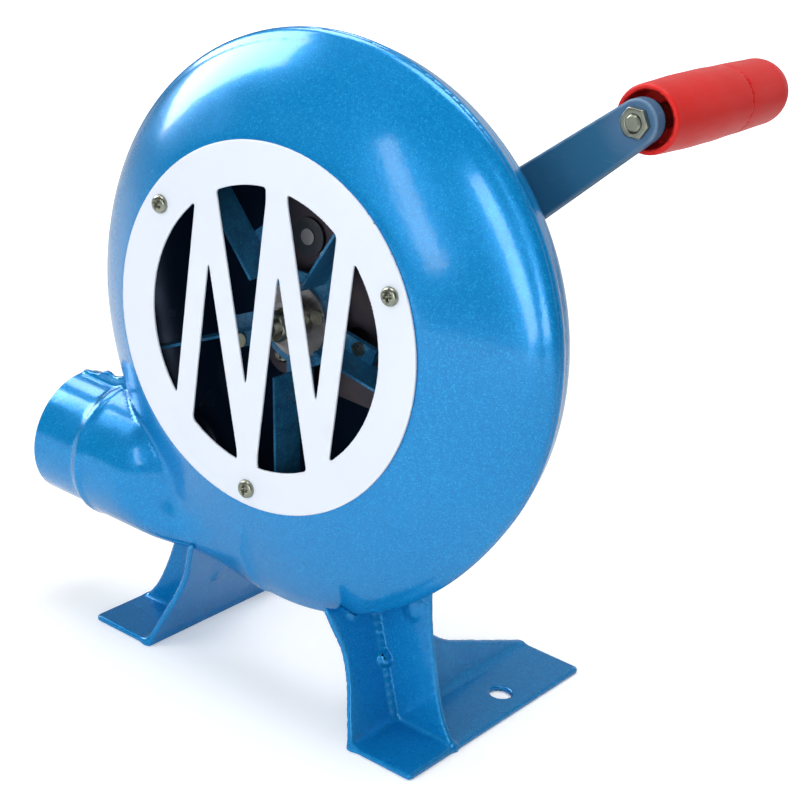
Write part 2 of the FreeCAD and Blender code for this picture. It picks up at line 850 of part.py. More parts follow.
def crank_bearing():
    """A turned sleeve through the gear plate and the rear bowl, with a screwed flange."""
    sleeve = crank_rod(bearing_radius, bearing_start_y, bearing_end_y)
    flange = crank_rod(bearing_flange_radius, rear_depth, rear_depth + bearing_flange)
    bore = crank_rod(crank_shaft_radius + run_gap, bearing_start_y - 1, bearing_end_y + 1)
    bearing = sleeve.fuse(flange).cut(bore)
    for x, z in bearing_screw_places():
        bearing = bearing.cut(rod(m4_hole, rear_depth - 1, rear_depth + 4, x, z))
    return bearing


def bearing_screws():
    seat = rear_depth + bearing_flange
    length = seat - rear_plate_y
    return Part.makeCompound([pan_screw(x, z, seat, length, 1) for x, z in bearing_screw_places()])


def thrust_washer():
    y_from = bearing_end_y + 0.2
    return ring(bearing_radius, crank_shaft_radius + run_gap, y_from,
                y_from + crank_washer_thickness, crank_x, crank_z)


def crank_arm():
    """A flat bar that tapers from the shaft to the grip, with rounded ends."""
    length = hypot(arm_reach_x - crank_x, arm_reach_z - crank_z)
    y_to = arm_front_y + arm_thickness
    # the straight edges touch both end circles
    lean = acos((arm_big_radius - arm_small_radius) / length)
    corners = [polar(arm_big_radius, lean), polar(arm_small_radius, lean)]
    big_x, big_z = corners[0]
    small_x, small_z = corners[1]
    outline_corners = [(big_x, big_z), (length + small_x, small_z),
                       (length + small_x, -small_z), (big_x, -big_z)]
    arm = polygon_prism(outline_corners, arm_front_y, y_to)
    arm = arm.fuse(rod(arm_big_radius, arm_front_y, y_to))
    arm = arm.fuse(rod(arm_small_radius, arm_front_y, y_to, length)).removeSplitter()
    long_edges = [e for e in arm.Edges if e.BoundBox.YLength < 1e-3]
    arm = arm.makeFillet(0.8, long_edges)
    arm = arm_place(arm)
    arm = arm.cut(flatted_bar(crank_shaft_radius + press_gap, arm_flats + 2 * press_gap,
                              arm_front_y - 1, y_to + 1))
    return arm.cut(rod(shaft_radius + run_gap, arm_front_y - 1, y_to + 1, arm_reach_x, arm_reach_z))


def crank_washer():
    y_from = arm_front_y + arm_thickness
    return ring(bearing_radius, m8_thread_radius + 0.25, y_from, y_from + crank_washer_gauge,
                crank_x, crank_z)


def crank_nut():
    y_from = arm_front_y + arm_thickness + crank_washer_gauge
    nut = hex_prism(m8_nut_flats, y_from, y_from + m8_nut_height, crank_x, crank_z)
    return nut.cut(crank_rod(m8_thread_radius + press_gap, y_from - 1, y_from + 12))


# ---- grip ----
def handle_spindle():
    """A shoulder screw: threaded nose through the arm, collar, long journal and head."""
    arm_rear_y = arm_front_y + arm_thickness
    nose_y = arm_front_y - handle_nut_height - spindle_nose
    collar_end = arm_rear_y + 4.0
    head_y = spindle_end_y - spindle_head_height
    chamfer = 0.6
    profile = [(0, nose_y), (shaft_radius - chamfer, nose_y), (shaft_radius, nose_y + chamfer),
               (shaft_radius, arm_rear_y), (spindle_collar_radius, arm_rear_y),
               (spindle_collar_radius, collar_end), (spindle_radius, collar_end),
               (spindle_radius, head_y), (spindle_head_radius, head_y),
               (spindle_head_radius, spindle_end_y), (0, spindle_end_y)]
    return turned(profile, arm_reach_x, arm_reach_z)


def handle_nut():
    nut = hex_prism(m6_nut_flats, arm_front_y - handle_nut_height, arm_front_y,
                    arm_reach_x, arm_reach_z)
    return nut.cut(rod(shaft_radius + press_gap, arm_front_y - 10, arm_front_y + 1,
                       arm_reach_x, arm_reach_z))


def spindle_washer():
    head_y = spindle_end_y - spindle_head_height
    return ring(spindle_head_radius + 1.0, spindle_radius + run_gap,
                head_y - spindle_washer_gauge - 0.2, head_y - 0.2, arm_reach_x, arm_reach_z)


def at_grip(radius, y):
    return V(arm_reach_x + radius, y, axis_height + arm_reach_z)


def turn_about_grip(points, curve):
    """Turn a half profile: straight lines through the points, closed by one curve."""
    edges = [Part.makeLine(a, b) for a, b in zip(points, points[1:])]
    edges.append(curve.toShape())
    face = Part.Face(Part.Wire(Part.__sortEdges__(edges)))
    return face.revolve(at_grip(0, 0), V(0, 1, 0), 360)


def grip_body():
    """A barrel-shaped sleeve: hollow at the arm end, bored for the spindle, open for its head."""
    cup_y = grip_front_y + grip_cup_depth
    pocket_y = spindle_end_y - spindle_head_height - spindle_washer_gauge - 0.4
    bore = spindle_radius + run_gap
    belly_end = grip_joint_y - grip_groove
    points = [at_grip(grip_joint_radius, belly_end),
              at_grip(grip_joint_radius - grip_groove, grip_joint_y),
              at_grip(cap_spigot_radius, grip_joint_y), at_grip(cap_spigot_radius, pocket_y),
              at_grip(bore, pocket_y), at_grip(bore, cup_y),
              at_grip(grip_cup_radius, cup_y), at_grip(grip_cup_radius, grip_front_y),
              at_grip(grip_front_radius - grip_lip, grip_front_y),
              at_grip(grip_front_radius, grip_front_y + grip_lip)]
    belly = Part.Arc(points[-1], at_grip(grip_belly_radius, grip_belly_y), points[0])
    return turn_about_grip(points, belly)


def grip_cap():
    """The domed end of the grip, pushed into the sleeve over the spindle's head."""
    spigot_y = grip_joint_y - cap_spigot_length
    floor_y = grip_joint_y + cap_floor
    dome_y = grip_end_y - grip_dome_length
    spigot = cap_spigot_radius - press_gap

    def dome_point(angle):
        return at_grip(cap_edge_radius * max(cos(angle), 0.0) ** dome_radius_power,
                       dome_y + grip_dome_length * sin(angle) ** dome_length_power)

    dome = Part.BSplineCurve()
    dome.interpolate([dome_point(pi / 2 * k / 8) for k in range(9)])
    points = [at_grip(0, grip_end_y), at_grip(0, floor_y), at_grip(cap_pocket_radius, floor_y),
              at_grip(cap_pocket_radius, spigot_y), at_grip(spigot, spigot_y),
              at_grip(spigot, grip_joint_y), at_grip(grip_joint_radius - grip_groove, grip_joint_y),
              at_grip(grip_joint_radius, grip_joint_y + grip_groove),
              at_grip(cap_edge_radius, dome_y)]
    return turn_about_grip(points, dome)


def main():
    os.makedirs("parts", exist_ok=True)
    forms = housing_solids()
    nodes = {
        "front_shell": front_shell(forms),
        "rear_shell": rear_shell(forms),
        "left_leg": leg(-1, forms),
        "right_leg": leg(1, forms),
    }
    makers = [inlet_guard, guard_screws, front_gear_plate, middle_gear_plate, rear_gear_plate,
              front_spacers, middle_spacers, rear_spacers, cage_bolts, cage_nuts,
              fan_front_bush, fan_rear_bush, idler_front_bush, idler_rear_bush,
              crank_front_bush, crank_bearing, bearing_screws,
              fan_shaft, fan_pinion, fan_hub, fan_spider, fan_blades, blade_rivets, hub_rivets,
              fan_washer, fan_nut, idler_shaft, idler_gear, idler_pinion, crank_gear,
              crank_shaft, thrust_washer, crank_arm, crank_washer, crank_nut, handle_spindle,
              handle_nut, spindle_washer, grip_body, grip_cap]
    for maker in makers:
        nodes[maker.__name__] = maker()
    for name, shape in nodes.items():
        shape.translate(V(0, -foot_hole_y, 0))
        box = shape.BoundBox
        print(name, "solids", len(shape.Solids), "valid", shape.isValid(),
              "volume", round(shape.Volume), "x", round(box.XMin, 1), round(box.XMax, 1),
              "y", round(box.YMin, 1), round(box.YMax, 1), "z", round(box.ZMin, 1),
              round(box.ZMax, 1))
        shape.exportStep(os.path.join("parts", name + ".step"))


main()
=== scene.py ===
import json
from math import cos, pi, radians, sin

import bpy
import numpy as np
from mathutils import Matrix, Vector


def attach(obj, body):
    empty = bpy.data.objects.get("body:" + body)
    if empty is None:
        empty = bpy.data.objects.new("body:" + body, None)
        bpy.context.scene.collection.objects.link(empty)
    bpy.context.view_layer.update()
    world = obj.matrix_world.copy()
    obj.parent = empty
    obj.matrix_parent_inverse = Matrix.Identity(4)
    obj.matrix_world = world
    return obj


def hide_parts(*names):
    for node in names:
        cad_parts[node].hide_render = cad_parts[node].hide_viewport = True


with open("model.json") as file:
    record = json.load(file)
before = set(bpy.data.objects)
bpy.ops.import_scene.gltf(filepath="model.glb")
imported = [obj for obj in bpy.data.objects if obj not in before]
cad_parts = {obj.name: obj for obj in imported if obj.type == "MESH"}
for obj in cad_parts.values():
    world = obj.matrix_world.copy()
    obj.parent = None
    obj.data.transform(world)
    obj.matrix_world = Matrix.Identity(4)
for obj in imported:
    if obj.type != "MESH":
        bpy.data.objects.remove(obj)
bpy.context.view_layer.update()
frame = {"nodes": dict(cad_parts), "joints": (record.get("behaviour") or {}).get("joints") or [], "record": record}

# A hand-cranked forge blower.  The working parts come from the CAD frame; the housing, legs,
# guard, crank arm and grip are rebuilt here in finer detail.  +Y is the crank side, +Z is up.
# Each rebuilt piece is the zero surface of a level function: negative inside, and roughly a
# distance outside.  Those functions work in millimetres about the fan axis, with y = 0 in the
# seam; lights and camera are in metres.

STUDIO_CENTRE = (0.0, -0.05, 0.15)
LIGHT_DISTANCE = 1.5
FLOOR_HALF = 6.0
CAMERA_PLACE = (0.41347, -0.59283, 0.39885)
CAMERA_AZIMUTH = radians(34.59)
CAMERA_ELEVATION = radians(22.08)
CAMERA_ROLL = radians(6.82)
CAMERA_LENS = 88.74
JOINTS = {joint["name"]: joint for joint in frame["joints"]}
FAN_AXIS = JOINTS["fan_spin"]["pos_m"]
CRANK_PLACE = JOINTS["crank_spin"]["pos_m"]
GRIP_PLACE = JOINTS["grip_spin"]["pos_m"]


# ---- shader helpers ----
class Shader:
    """One procedural material, built node by node."""

    def __init__(self, name):
        """Start empty, with the object's own coordinates as the place."""
        self.material = bpy.data.materials.new(name)
        self.material.use_nodes = True
        self.tree = self.material.node_tree
        self.tree.nodes.clear()
        self.place = self.node("TexCoord").outputs["Object"]

    def node(self, kind, inputs=None, **settings):
        """A shader node with its inputs joined and its settings made."""
        node = self.tree.nodes.new("ShaderNode" + kind)
        for key, value in settings.items():
            setattr(node, key, value)
        for key, value in (inputs or {}).items():
            self.join(value, node.inputs[key])
        return node

    def join(self, value, socket):
        """Link a socket, or set a plain value."""
        if isinstance(value, bpy.types.NodeSocket):
            self.tree.links.new(value, socket)
        else:
            socket.default_value = value

    def stretched(self, scale):
        """The object's own coordinates, scaled differently along each axis."""
        return self.node("Mapping", {"Vector": self.place, "Scale": scale}).outputs["Vector"]

    def noise(self, scale, detail=3.0, roughness=0.5, vector=None, distortion=0.0):
        inputs = {"Vector": vector or self.place, "Scale": scale, "Detail": detail,
                  "Roughness": roughness, "Distortion": distortion}
        return self.node("TexNoise", inputs).outputs["Fac"]

    def cells(self, scale, output="Color"):
        return self.node("TexVoronoi", {"Vector": self.place, "Scale": scale}).outputs[output]

    def spread(self, value, low, high, to_low=0.0, to_high=1.0):
        """Stretch low..high onto to_low..to_high and hold the ends."""
        inputs = {"Value": value, "From Min": low, "From Max": high,
                  "To Min": to_low, "To Max": to_high}
        return self.node("MapRange", inputs).outputs["Result"]

    def math(self, operation, first, second):
        return self.node("Math", {0: first, 1: second}, operation=operation).outputs[0]

    def mix(self, share, first, second):
        """The first colour turning into the second as share goes from 0 to 1."""
        return self.node("Mix", {0: share, 6: first, 7: second}, data_type="RGBA").outputs[2]

    def bump(self, height, distance, strength):
        inputs = {"Height": height, "Distance": distance, "Strength": strength}
        return self.node("Bump", inputs).outputs["Normal"]

    def edges(self, low=0.53, high=0.62):
        """1 on sharp outer edges, 0 on flat and hollow places."""
        point = self.node("NewGeometry").outputs["Pointiness"]
        return self.spread(point, low, high)

    def finish(self, **inputs):
        """Close the material; keywords are the principled shader's input names."""
        names = {key.replace("_", " ").title().replace("Ior", "IOR"): value
                 for key, value in inputs.items()}
        shader = self.node("BsdfPrincipled", names)
        output = self.node("OutputMaterial")
        self.tree.links.new(shader.outputs["BSDF"], output.inputs["Surface"])
        return self.material


def grey(level):
    return level, level, level, 1.0


def colour(red, green, blue):
    return red, green, blue, 1.0


# ---- materials ----
def flake_paint(name, deep, bright, metal, rough, coat):
    """Metallic paint: fine bright flakes, orange peel in the clear coat, lighter sharp edges as edge wear and
    painted edge highlight.
    """
    s = Shader(name)
    tone = s.mix(s.noise(9.0, 4.0), deep, bright)
    flake = s.node("SeparateColor", {"Color": s.cells(2600.0)})
    sparkle = s.spread(flake.outputs["Red"], 0.70, 1.0)
    light_flake = s.mix(s.math("MULTIPLY", sparkle, 0.30), tone, colour(0.04, 0.56, 0.98))
    dark_flake = s.spread(flake.outputs["Green"], 0.65, 1.0, 0.0, 0.34)
    flecked = s.mix(dark_flake, light_flake, colour(0.0, 0.07, 0.22))
    ragged = s.spread(s.noise(160.0, 5.0), 0.30, 0.60, 0.4, 1.0)
    # sharp edges lightened: partly edge wear, partly a painted edge highlight
    lighter_edges = s.math("MULTIPLY", s.edges(0.57, 0.66), ragged)
    base = s.mix(s.math("MULTIPLY", lighter_edges, 0.55), flecked, colour(0.08, 0.42, 0.78))
    # inner faces turn nearly black navy and lose the coat: painted shade for the unlit inside of the housing
    inside = s.node("Attribute", attribute_name="inside").outputs["Fac"]
    base = s.mix(s.math("MULTIPLY", inside, 0.97), base, colour(0.006, 0.013, 0.034))
    coat = s.math("MULTIPLY", s.math("SUBTRACT", 1.0, inside), coat)
    grain = s.bump(flake.outputs["Blue"], 0.00002, 0.25)
    peel = s.bump(s.noise(330.0, 2.0, 0.4), 0.00012, 0.3)
    patches = s.spread(s.noise(45.0, 3.0), 0.3, 0.7, rough - 0.04, rough + 0.05)
    return s.finish(base_color=base, metallic=metal, roughness=patches, normal=grain,
                    specular_ior_level=0.2, coat_weight=coat, coat_roughness=0.10,
                    coat_normal=peel)


def guard_coat():
    """Off-white powder coat with faint specks and a little grime."""
    s = Shader("guard_paint")
    grime = s.spread(s.noise(60.0, 6.0, 0.6), 0.52, 0.78, 0.0, 0.16)
    tone = s.mix(s.noise(14.0), colour(0.585, 0.645, 0.73), colour(0.645, 0.695, 0.77))
    dirty = s.mix(grime, tone, colour(0.50, 0.52, 0.55))
    speck = s.spread(s.cells(900.0, "Distance"), 0.06, 0.1, 0.25, 0.0)
    base = s.mix(speck, dirty, colour(0.60, 0.62, 0.66))
    skin = s.bump(s.noise(700.0, 3.0), 0.00005, 0.3)
    return s.finish(base_color=base, roughness=s.spread(s.noise(90.0), 0.3, 0.7, 0.38, 0.52),
                    normal=skin)


def arm_coat():
    """Thin dark blue-grey paint on flat bar with scratch streaks, lighter round the nut, and a painted edge
    highlight along its sharp edges.
    """
    s = Shader("arm_paint")
    tone = s.mix(s.noise(30.0, 5.0), colour(0.012, 0.085, 0.17), colour(0.024, 0.12, 0.23))
    scratch = s.noise(60.0, 8.0, 0.7, s.stretched((1.0, 1.0, 14.0)))
    rubbed = s.mix(s.spread(scratch, 0.60, 0.72, 0.0, 0.35), tone, colour(0.16, 0.24, 0.34))
    # the paint turns lighter within about 16 mm of the grip's axis
    from_nut = s.node("VectorMath", {0: s.place, 1: GRIP_PLACE}, operation="SUBTRACT")
    flat = s.node("VectorMath", {0: from_nut.outputs["Vector"], 1: (1.0, 0.0, 1.0)},
                  operation="MULTIPLY")
    reach = s.node("VectorMath", {0: flat.outputs["Vector"]}, operation="LENGTH")
    lighter_near_nut = s.spread(reach.outputs["Value"], 0.005, 0.016, 0.45, 0.0)
    rubbed = s.mix(lighter_near_nut, rubbed, colour(0.13, 0.20, 0.34))
    # sharp edges lightened strongly: painted edge highlight
    base = s.mix(s.math("MULTIPLY", s.edges(), 0.8), rubbed, colour(0.36, 0.44, 0.55))
    skin = s.bump(s.noise(420.0, 3.0), 0.00008, 0.4)
    return s.finish(base_color=base, metallic=0.15, normal=skin, specular_ior_level=0.25,
                    roughness=s.spread(scratch, 0.3, 0.7, 0.42, 0.60))


def grip_moulding():
    """Red moulded plastic with faint flow marks and a hand-polished sheen."""
    s = Shader("grip_plastic")
    flow = s.noise(38.0, 4.0, 0.55, distortion=0.6)
    tone = s.mix(flow, colour(0.54, 0.012, 0.011), colour(0.66, 0.024, 0.020))
    scuff = s.noise(210.0, 8.0, 0.72, s.stretched((1.0, 0.25, 1.0)))
    base = s.mix(s.spread(scuff, 0.60, 0.80, 0.0, 0.3), tone, colour(0.72, 0.15, 0.14))
    skin = s.bump(s.noise(520.0, 3.0), 0.00006, 0.35)
    return s.finish(base_color=base, specular_ior_level=0.2, normal=skin,
                    roughness=s.spread(scuff, 0.3, 0.7, 0.30, 0.46),
                    subsurface_weight=0.06, subsurface_scale=0.004)


def plated(name, dull, bright, rough):
    """Zinc plate: patchy, slightly yellow, softly brushed."""
    s = Shader(name)
    patch = s.noise(260.0, 5.0, 0.6)
    tone = s.mix(patch, dull, bright)
    stain = s.spread(s.noise(520.0, 4.0), 0.58, 0.75, 0.0, 0.45)
    base = s.mix(stain, tone, colour(0.30, 0.27, 0.20))
    skin = s.bump(s.noise(1400.0, 4.0), 0.00002, 0.4)
    return s.finish(base_color=base, metallic=1.0, normal=skin,
                    roughness=s.spread(patch, 0.3, 0.7, rough - 0.07, rough + 0.1))


def steel(name, dull, bright, rough, grain):
    """Bare steel with a directional grain and oil stains."""
    s = Shader(name)
    line = s.noise(90.0, 6.0, 0.7, s.stretched(grain))
    tone = s.mix(line, dull, bright)
    oil = s.spread(s.noise(70.0, 5.0, 0.6), 0.50, 0.72, 0.0, 0.6)
    base = s.mix(oil, tone, colour(0.12, 0.095, 0.07))
    lighter_edges = s.mix(s.math("MULTIPLY", s.edges(), 0.5), base, bright)
    skin = s.bump(line, 0.00003, 0.4)
    return s.finish(base_color=lighter_edges, metallic=0.95, normal=skin,
                    roughness=s.spread(line, 0.3, 0.7, rough - 0.08, rough + 0.1))


def make_materials():
    """One finished material for each slot of the record."""
    return {
        "housing_paint": flake_paint("housing_paint", colour(0.001, 0.188, 0.500),
                                     colour(0.003, 0.240, 0.580), 0.30, 0.24, 0.5),
        "leg_paint": flake_paint("leg_paint", colour(0.001, 0.180, 0.480),
                                 colour(0.003, 0.225, 0.550), 0.30, 0.26, 0.35),
        # fan blades painted much darker than the housing blue: painted shade for the dark inside of the housing
        "fan_paint": flake_paint("fan_paint", colour(0.002, 0.034, 0.100),
                                 colour(0.004, 0.058, 0.155), 0.30, 0.48, 0.3),
        "guard_paint": guard_coat(),
        "arm_paint": arm_coat(),
        "grip_plastic": grip_moulding(),
        "zinc": plated("zinc", colour(0.15, 0.165, 0.12), colour(0.42, 0.44, 0.37), 0.30),
        # plate steel painted almost black: painted shade for the dark inside of the housing
        "plate_steel": steel("plate_steel", colour(0.034, 0.030, 0.044), colour(0.090, 0.080, 0.100),
                             0.42, (1.0, 1.0, 12.0)),
        "gear_steel": steel("gear_steel", colour(0.16, 0.16, 0.17), colour(0.34, 0.34, 0.35),
                            0.32, (1.0, 9.0, 1.0)),
        # the bushes get near-black grey instead of brass: painted shade for the dark inside of the housing
        "bush_brass": steel("bush_brass", colour(0.022, 0.026, 0.034), colour(0.070, 0.078, 0.090),
                            0.34, (1.0, 9.0, 1.0)),
    }


def paint_cad(materials):
    """The CAD pieces that stay in view get their slot's material."""
    for part in frame["record"]["subparts"]:
        mesh = frame["nodes"][part["node"]].data
        mesh.materials.clear()
        mesh.materials.append(materials[part["material_slot"]])


# ---- mesh helpers ----
def add_object(name, mesh, body, slot, materials, replaced=()):
    """A finished piece: painted, riding on its body, in place of its CAD nodes."""
    piece = bpy.data.objects.new(name, mesh)
    bpy.context.scene.collection.objects.link(piece)
    mesh.materials.append(materials[slot])
    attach(piece, body)
    if replaced:
        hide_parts(*replaced)
    return piece


# ---- housing: one smooth form for the bowls and the spout ----
AXIS_HEIGHT = 153.5
FLAT_RADIUS = 68.7
INLET_RADIUS = 55.0
FRONT_DEPTH = 24.1
REAR_DEPTH = 25.7
REAR_ROUND = 23.8
FRONT_SQUARENESS = (1.023, 1.552)
REAR_SQUARENESS = 1.6
FLAT_BLEND = 0.03
RIM_RADIUS = 103.5
RIM_SHIFT = (5.2, 1.0)
SWELL = 11.5
SWELL_START = radians(200)
SWELL_SPAN = radians(135)
BEAD = 0.8
BEAD_RISE = (-0.9, 1.0)
BEAD_FALL = (1.6, 5.0)
# the spout: its mouth, its step up to the neck at a raised ring, and the flange on its seam
MOUTH_X = -110.3
SPOUT_Z = -83.1
SPOUT_RADIUS = 25.4
NECK_RADIUS = 26.6
RING_X = -86.5
RING_TILT = -0.05
RING_HEIGHT = 1.3
RING_WIDTH = 2.0
FIN_HALF = 1.3
FIN_START = 1.2
FIN_END_X = -70.0
FIN_EDGE = 0.9
UPPER_FADE = (-66.0, -34.0)
LOWER_FADE = (-58.0, -14.0)
FADE_HEIGHTS = (-20.0, 2.0)
NARROWING = 14.0
FLATTENING = 1.5
LOWER_TUCK = 4.0
SPOUT_RISE = 0.8
SPOUT_END_X = -12.0
SHEET = 1.2
# the net's grid: fine layers at the seam for its bead, then even cells out to the limits
HOUSING_CELL = 1.7
SEAM_LAYERS = [0.0, 0.25, 0.6, 1.1, 1.7, 2.4, 3.1, 3.9]
DEEP_FROM = 5.2
DEEP_TO = 29.5
RIGHT_LIMIT = 115.0
LOW_LIMIT = -120.0
HIGH_LIMIT = 110.0


def ease(value, start, end):
    """A smooth step from 0 at start to 1 at end."""
    t = np.clip((value - start) / (end - start), 0.0, 1.0)
    return t * t * (3 - 2 * t)


def soft_floor(value, bend):
    """The value where it is positive, running out smoothly to nothing below zero."""
    return (value + np.sqrt(value * value + bend * bend)) / 2


def rounded(first, second, radius):
    """The overlap of two forms, with its edge rounded."""
    a = np.maximum(first + radius, 0)
    b = np.maximum(second + radius, 0)
    return np.minimum(np.maximum(first, second), -radius) + np.hypot(a, b)


def blended(first, second, softness):
    """Two forms joined with a smooth hollow between them."""
    near = np.clip(softness - np.abs(first - second), 0.0, None) / softness
    return np.minimum(first, second) - near ** 2 * softness / 4


def rim_distance(x, z):
    """How far the scroll outline lies from the fan axis in the direction of (x, z)."""
    angle = np.arctan2(z, x)
    turn = np.mod(angle - SWELL_START, 2 * pi) / SWELL_SPAN
    swell = np.where(turn < 1, SWELL * (1 - np.cos(2 * pi * turn)) / 2, 0.0)
    along = RIM_SHIFT[0] * np.cos(angle) + RIM_SHIFT[1] * np.sin(angle)
    across = RIM_SHIFT[0] * np.sin(angle) - RIM_SHIFT[1] * np.cos(angle)
    return along + np.sqrt((RIM_RADIUS + swell) ** 2 - across ** 2)


def bowl_level(x, y, z):
    """Roughly the distance outside the two bowls, negative inside."""
    radius = np.hypot(x, z)
    depth = np.abs(y)
    bead = BEAD * ease(depth, *BEAD_RISE) * (1 - ease(depth, *BEAD_FALL))
    rim = rim_distance(x, z) + bead
    out = soft_floor((radius - FLAT_RADIUS) / (rim - FLAT_RADIUS), FLAT_BLEND)
    deep = np.clip(depth / FRONT_DEPTH, 1e-6, None)
    wide, tall = FRONT_SQUARENESS
    front = out ** wide + deep ** tall - 1
    front_slope = np.hypot(wide * ease(out, 0.0, 2 * FLAT_BLEND) / (rim - FLAT_RADIUS),
                           tall * deep ** (tall - 1) / FRONT_DEPTH)
    round_out = np.clip((radius - rim + REAR_ROUND) / REAR_ROUND, 1e-6, None)
    back = round_out ** REAR_SQUARENESS + (depth / REAR_DEPTH) ** 2 - 1
    back_slope = np.hypot(REAR_SQUARENESS * round_out ** (REAR_SQUARENESS - 1) / REAR_ROUND,
                          2 * depth / REAR_DEPTH ** 2)
    return np.where(y < 0, front / front_slope, back / np.maximum(back_slope, 0.01))


def spout_level(x, y, z):
    """Distance outside the spout, which narrows as it runs into the bowls and ends there."""
    beside = x - RING_X - RING_TILT * (z - SPOUT_Z)
    ring = RING_HEIGHT * np.exp(-(beside / RING_WIDTH) ** 2)
    # the upper half is lost in the dome early, the lower half runs on along the rim
    upper = ease(z - SPOUT_Z, *FADE_HEIGHTS)
    fade = ease(x, *UPPER_FADE) * upper + ease(x, *LOWER_FADE) * (1 - upper)
    step = SPOUT_RADIUS + (NECK_RADIUS - SPOUT_RADIUS) * ease(beside, -1.5, 2.5) + ring
    half_width = step - NARROWING * fade
    half_height = step - FLATTENING * fade - LOWER_TUCK * ease(x, -44.0, SPOUT_END_X)
    up = z - SPOUT_Z - SPOUT_RISE * fade
    tube = (np.hypot(y / half_width, up / half_height) - 1) * half_width
    return np.maximum(tube, x - SPOUT_END_X)


def fin_level(x, y, z):
    """The flat, slightly lumpy seam flange on top of the spout."""
    top = SPOUT_Z + SPOUT_RADIUS + 2.0 + 2.6 * ease(x, -108.0, -92.0) + 8.0 * ease(x, -92.0, -76.0)
    uneven = 0.6 * np.sin(x * 0.5) + 0.3 * np.sin(x * 0.9 + 1.0)
    flat = rounded(np.abs(y) - FIN_HALF, z - top - uneven, FIN_EDGE)
    flat = rounded(flat, MOUTH_X + FIN_START - x, FIN_EDGE)
    return np.maximum(np.maximum(flat, x - FIN_END_X), SPOUT_Z - z)


def housing_level(x, y, z):
    """The bowls and the spout, blended more softly the further the spout runs in."""
    bowl = bowl_level(x, y, z)
    spout = spout_level(x, y, z)
    softness = 1.5 + 10.0 * ease(x, -50.0, -34.0)
    form = blended(bowl, spout, softness)
    return blended(form, fin_level(x, y, z), 2.0)


def slope(level, points):
    """The level function's gradient at each point."""
    step = 0.05
    parts = []
    for axis in range(3):
        ahead = points.copy()
        behind = points.copy()
        ahead[:, axis] += step
        behind[:, axis] -= step
        parts.append((level(*ahead.T) - level(*behind.T)) / (2 * step))
    return np.stack(parts, axis=1)


def settle(level, points, held=None, rounds=8):
    """Slide points onto the zero surface; held marks coordinates that must not move."""
    for _ in range(rounds):
        gradient = slope(level, points)
        if held is not None:
            gradient[held] = 0.0
        size = np.maximum((gradient ** 2).sum(axis=1), 0.05)
        move = gradient * (level(*points.T) / size)[:, None]
        points -= np.clip(move, -1.0, 1.0)
    return points


def surface_net(level, xs, ys, zs):
    """Cell indices and quads of the net that wraps the zero surface inside a grid."""
    inside = level(*np.meshgrid(xs, ys, zs, indexing="ij")) < 0
    corners = [inside[i:len(xs) - 1 + i, j:len(ys) - 1 + j, k:len(zs) - 1 + k]
               for i in (0, 1) for j in (0, 1) for k in (0, 1)]
    count = np.sum(corners, axis=0)
    crossed = (count > 0) & (count < 8)
    number = np.full(crossed.shape, -1)
    cells = np.argwhere(crossed)
    number[tuple(cells.T)] = np.arange(len(cells))
    quads = []
    for axis in range(3):
        low = [slice(1, -1)] * 3
        high = [slice(1, -1)] * 3
        low[axis] = slice(0, -1)
        high[axis] = slice(1, None)
        starts = np.argwhere(inside[tuple(low)] != inside[tuple(high)])
        side_a, side_b = [a for a in range(3) if a != axis]
        ring = []
        for step_a, step_b in ((0, 0), (1, 0), (1, 1), (0, 1)):
            place = starts.copy()
            place[:, side_a] += step_a
            place[:, side_b] += step_b
            ring.append(number[tuple(place.T)])
        quads.append(np.stack(ring, axis=1))
    return cells, np.concatenate(quads)


def cell_middles(cells, *grids):
    """The middle of each listed cell."""
    return np.stack([(grid[cells[:, axis]] + grid[cells[:, axis] + 1]) / 2
                     for axis, grid in enumerate(grids)], axis=1)


def to_frame(points):
    """From millimetres about the fan axis at the seam to the frame's metres."""
    return np.asarray(points) / 1000 + np.array(FAN_AXIS)


def housing_half(side):
    """Points and quads of one bowl's outer face; side is -1 for the front bowl."""
    cell = HOUSING_CELL
    xs = np.concatenate([[MOUTH_X, MOUTH_X + 0.8], np.arange(MOUTH_X + 2.0, RIGHT_LIMIT, cell)])
    ys = np.sort(side * np.concatenate([SEAM_LAYERS, np.arange(DEEP_FROM, DEEP_TO, cell)]))
    zs = np.arange(LOW_LIMIT, HIGH_LIMIT, cell)
    cells, quads = surface_net(housing_level, xs, ys, zs)
    points = settle(housing_level, cell_middles(cells, xs, ys, zs))
    seam_layer = 0 if side > 0 else len(ys) - 2
    held = np.zeros(points.shape, bool)
    held[:, 1] = cells[:, 1] == seam_layer
    held[:, 0] = cells[:, 0] == 0
    points[held[:, 1], 1] = 0.0
    points[held[:, 0], 0] = MOUTH_X
    edge = held.any(axis=1)
    points[edge] = settle(housing_level, points[edge], held[edge])
    # the front bowl is open where the air comes in
    if side < 0:
        radius = np.hypot(points[:, 0], points[:, 2])
        quads = quads[radius[quads].mean(axis=1) > INLET_RADIUS]
        rim = np.unique(open_edges(quads))
        rim = rim[(radius[rim] < INLET_RADIUS + 2 * cell) & (points[rim, 1] < -FRONT_DEPTH / 2)]
        points[rim, 0] *= INLET_RADIUS / radius[rim]
        points[rim, 2] *= INLET_RADIUS / radius[rim]
    return points, quads, held


def open_edges(quads):
    """Edges that belong to one quad only, in that quad's direction."""
    pairs = np.concatenate([quads[:, [k, (k + 1) % 4]] for k in range(4)])
    keys = np.sort(pairs, axis=1)
    _, where, times = np.unique(keys, axis=0, return_inverse=True, return_counts=True)
    return pairs[times[where.ravel()] == 1]


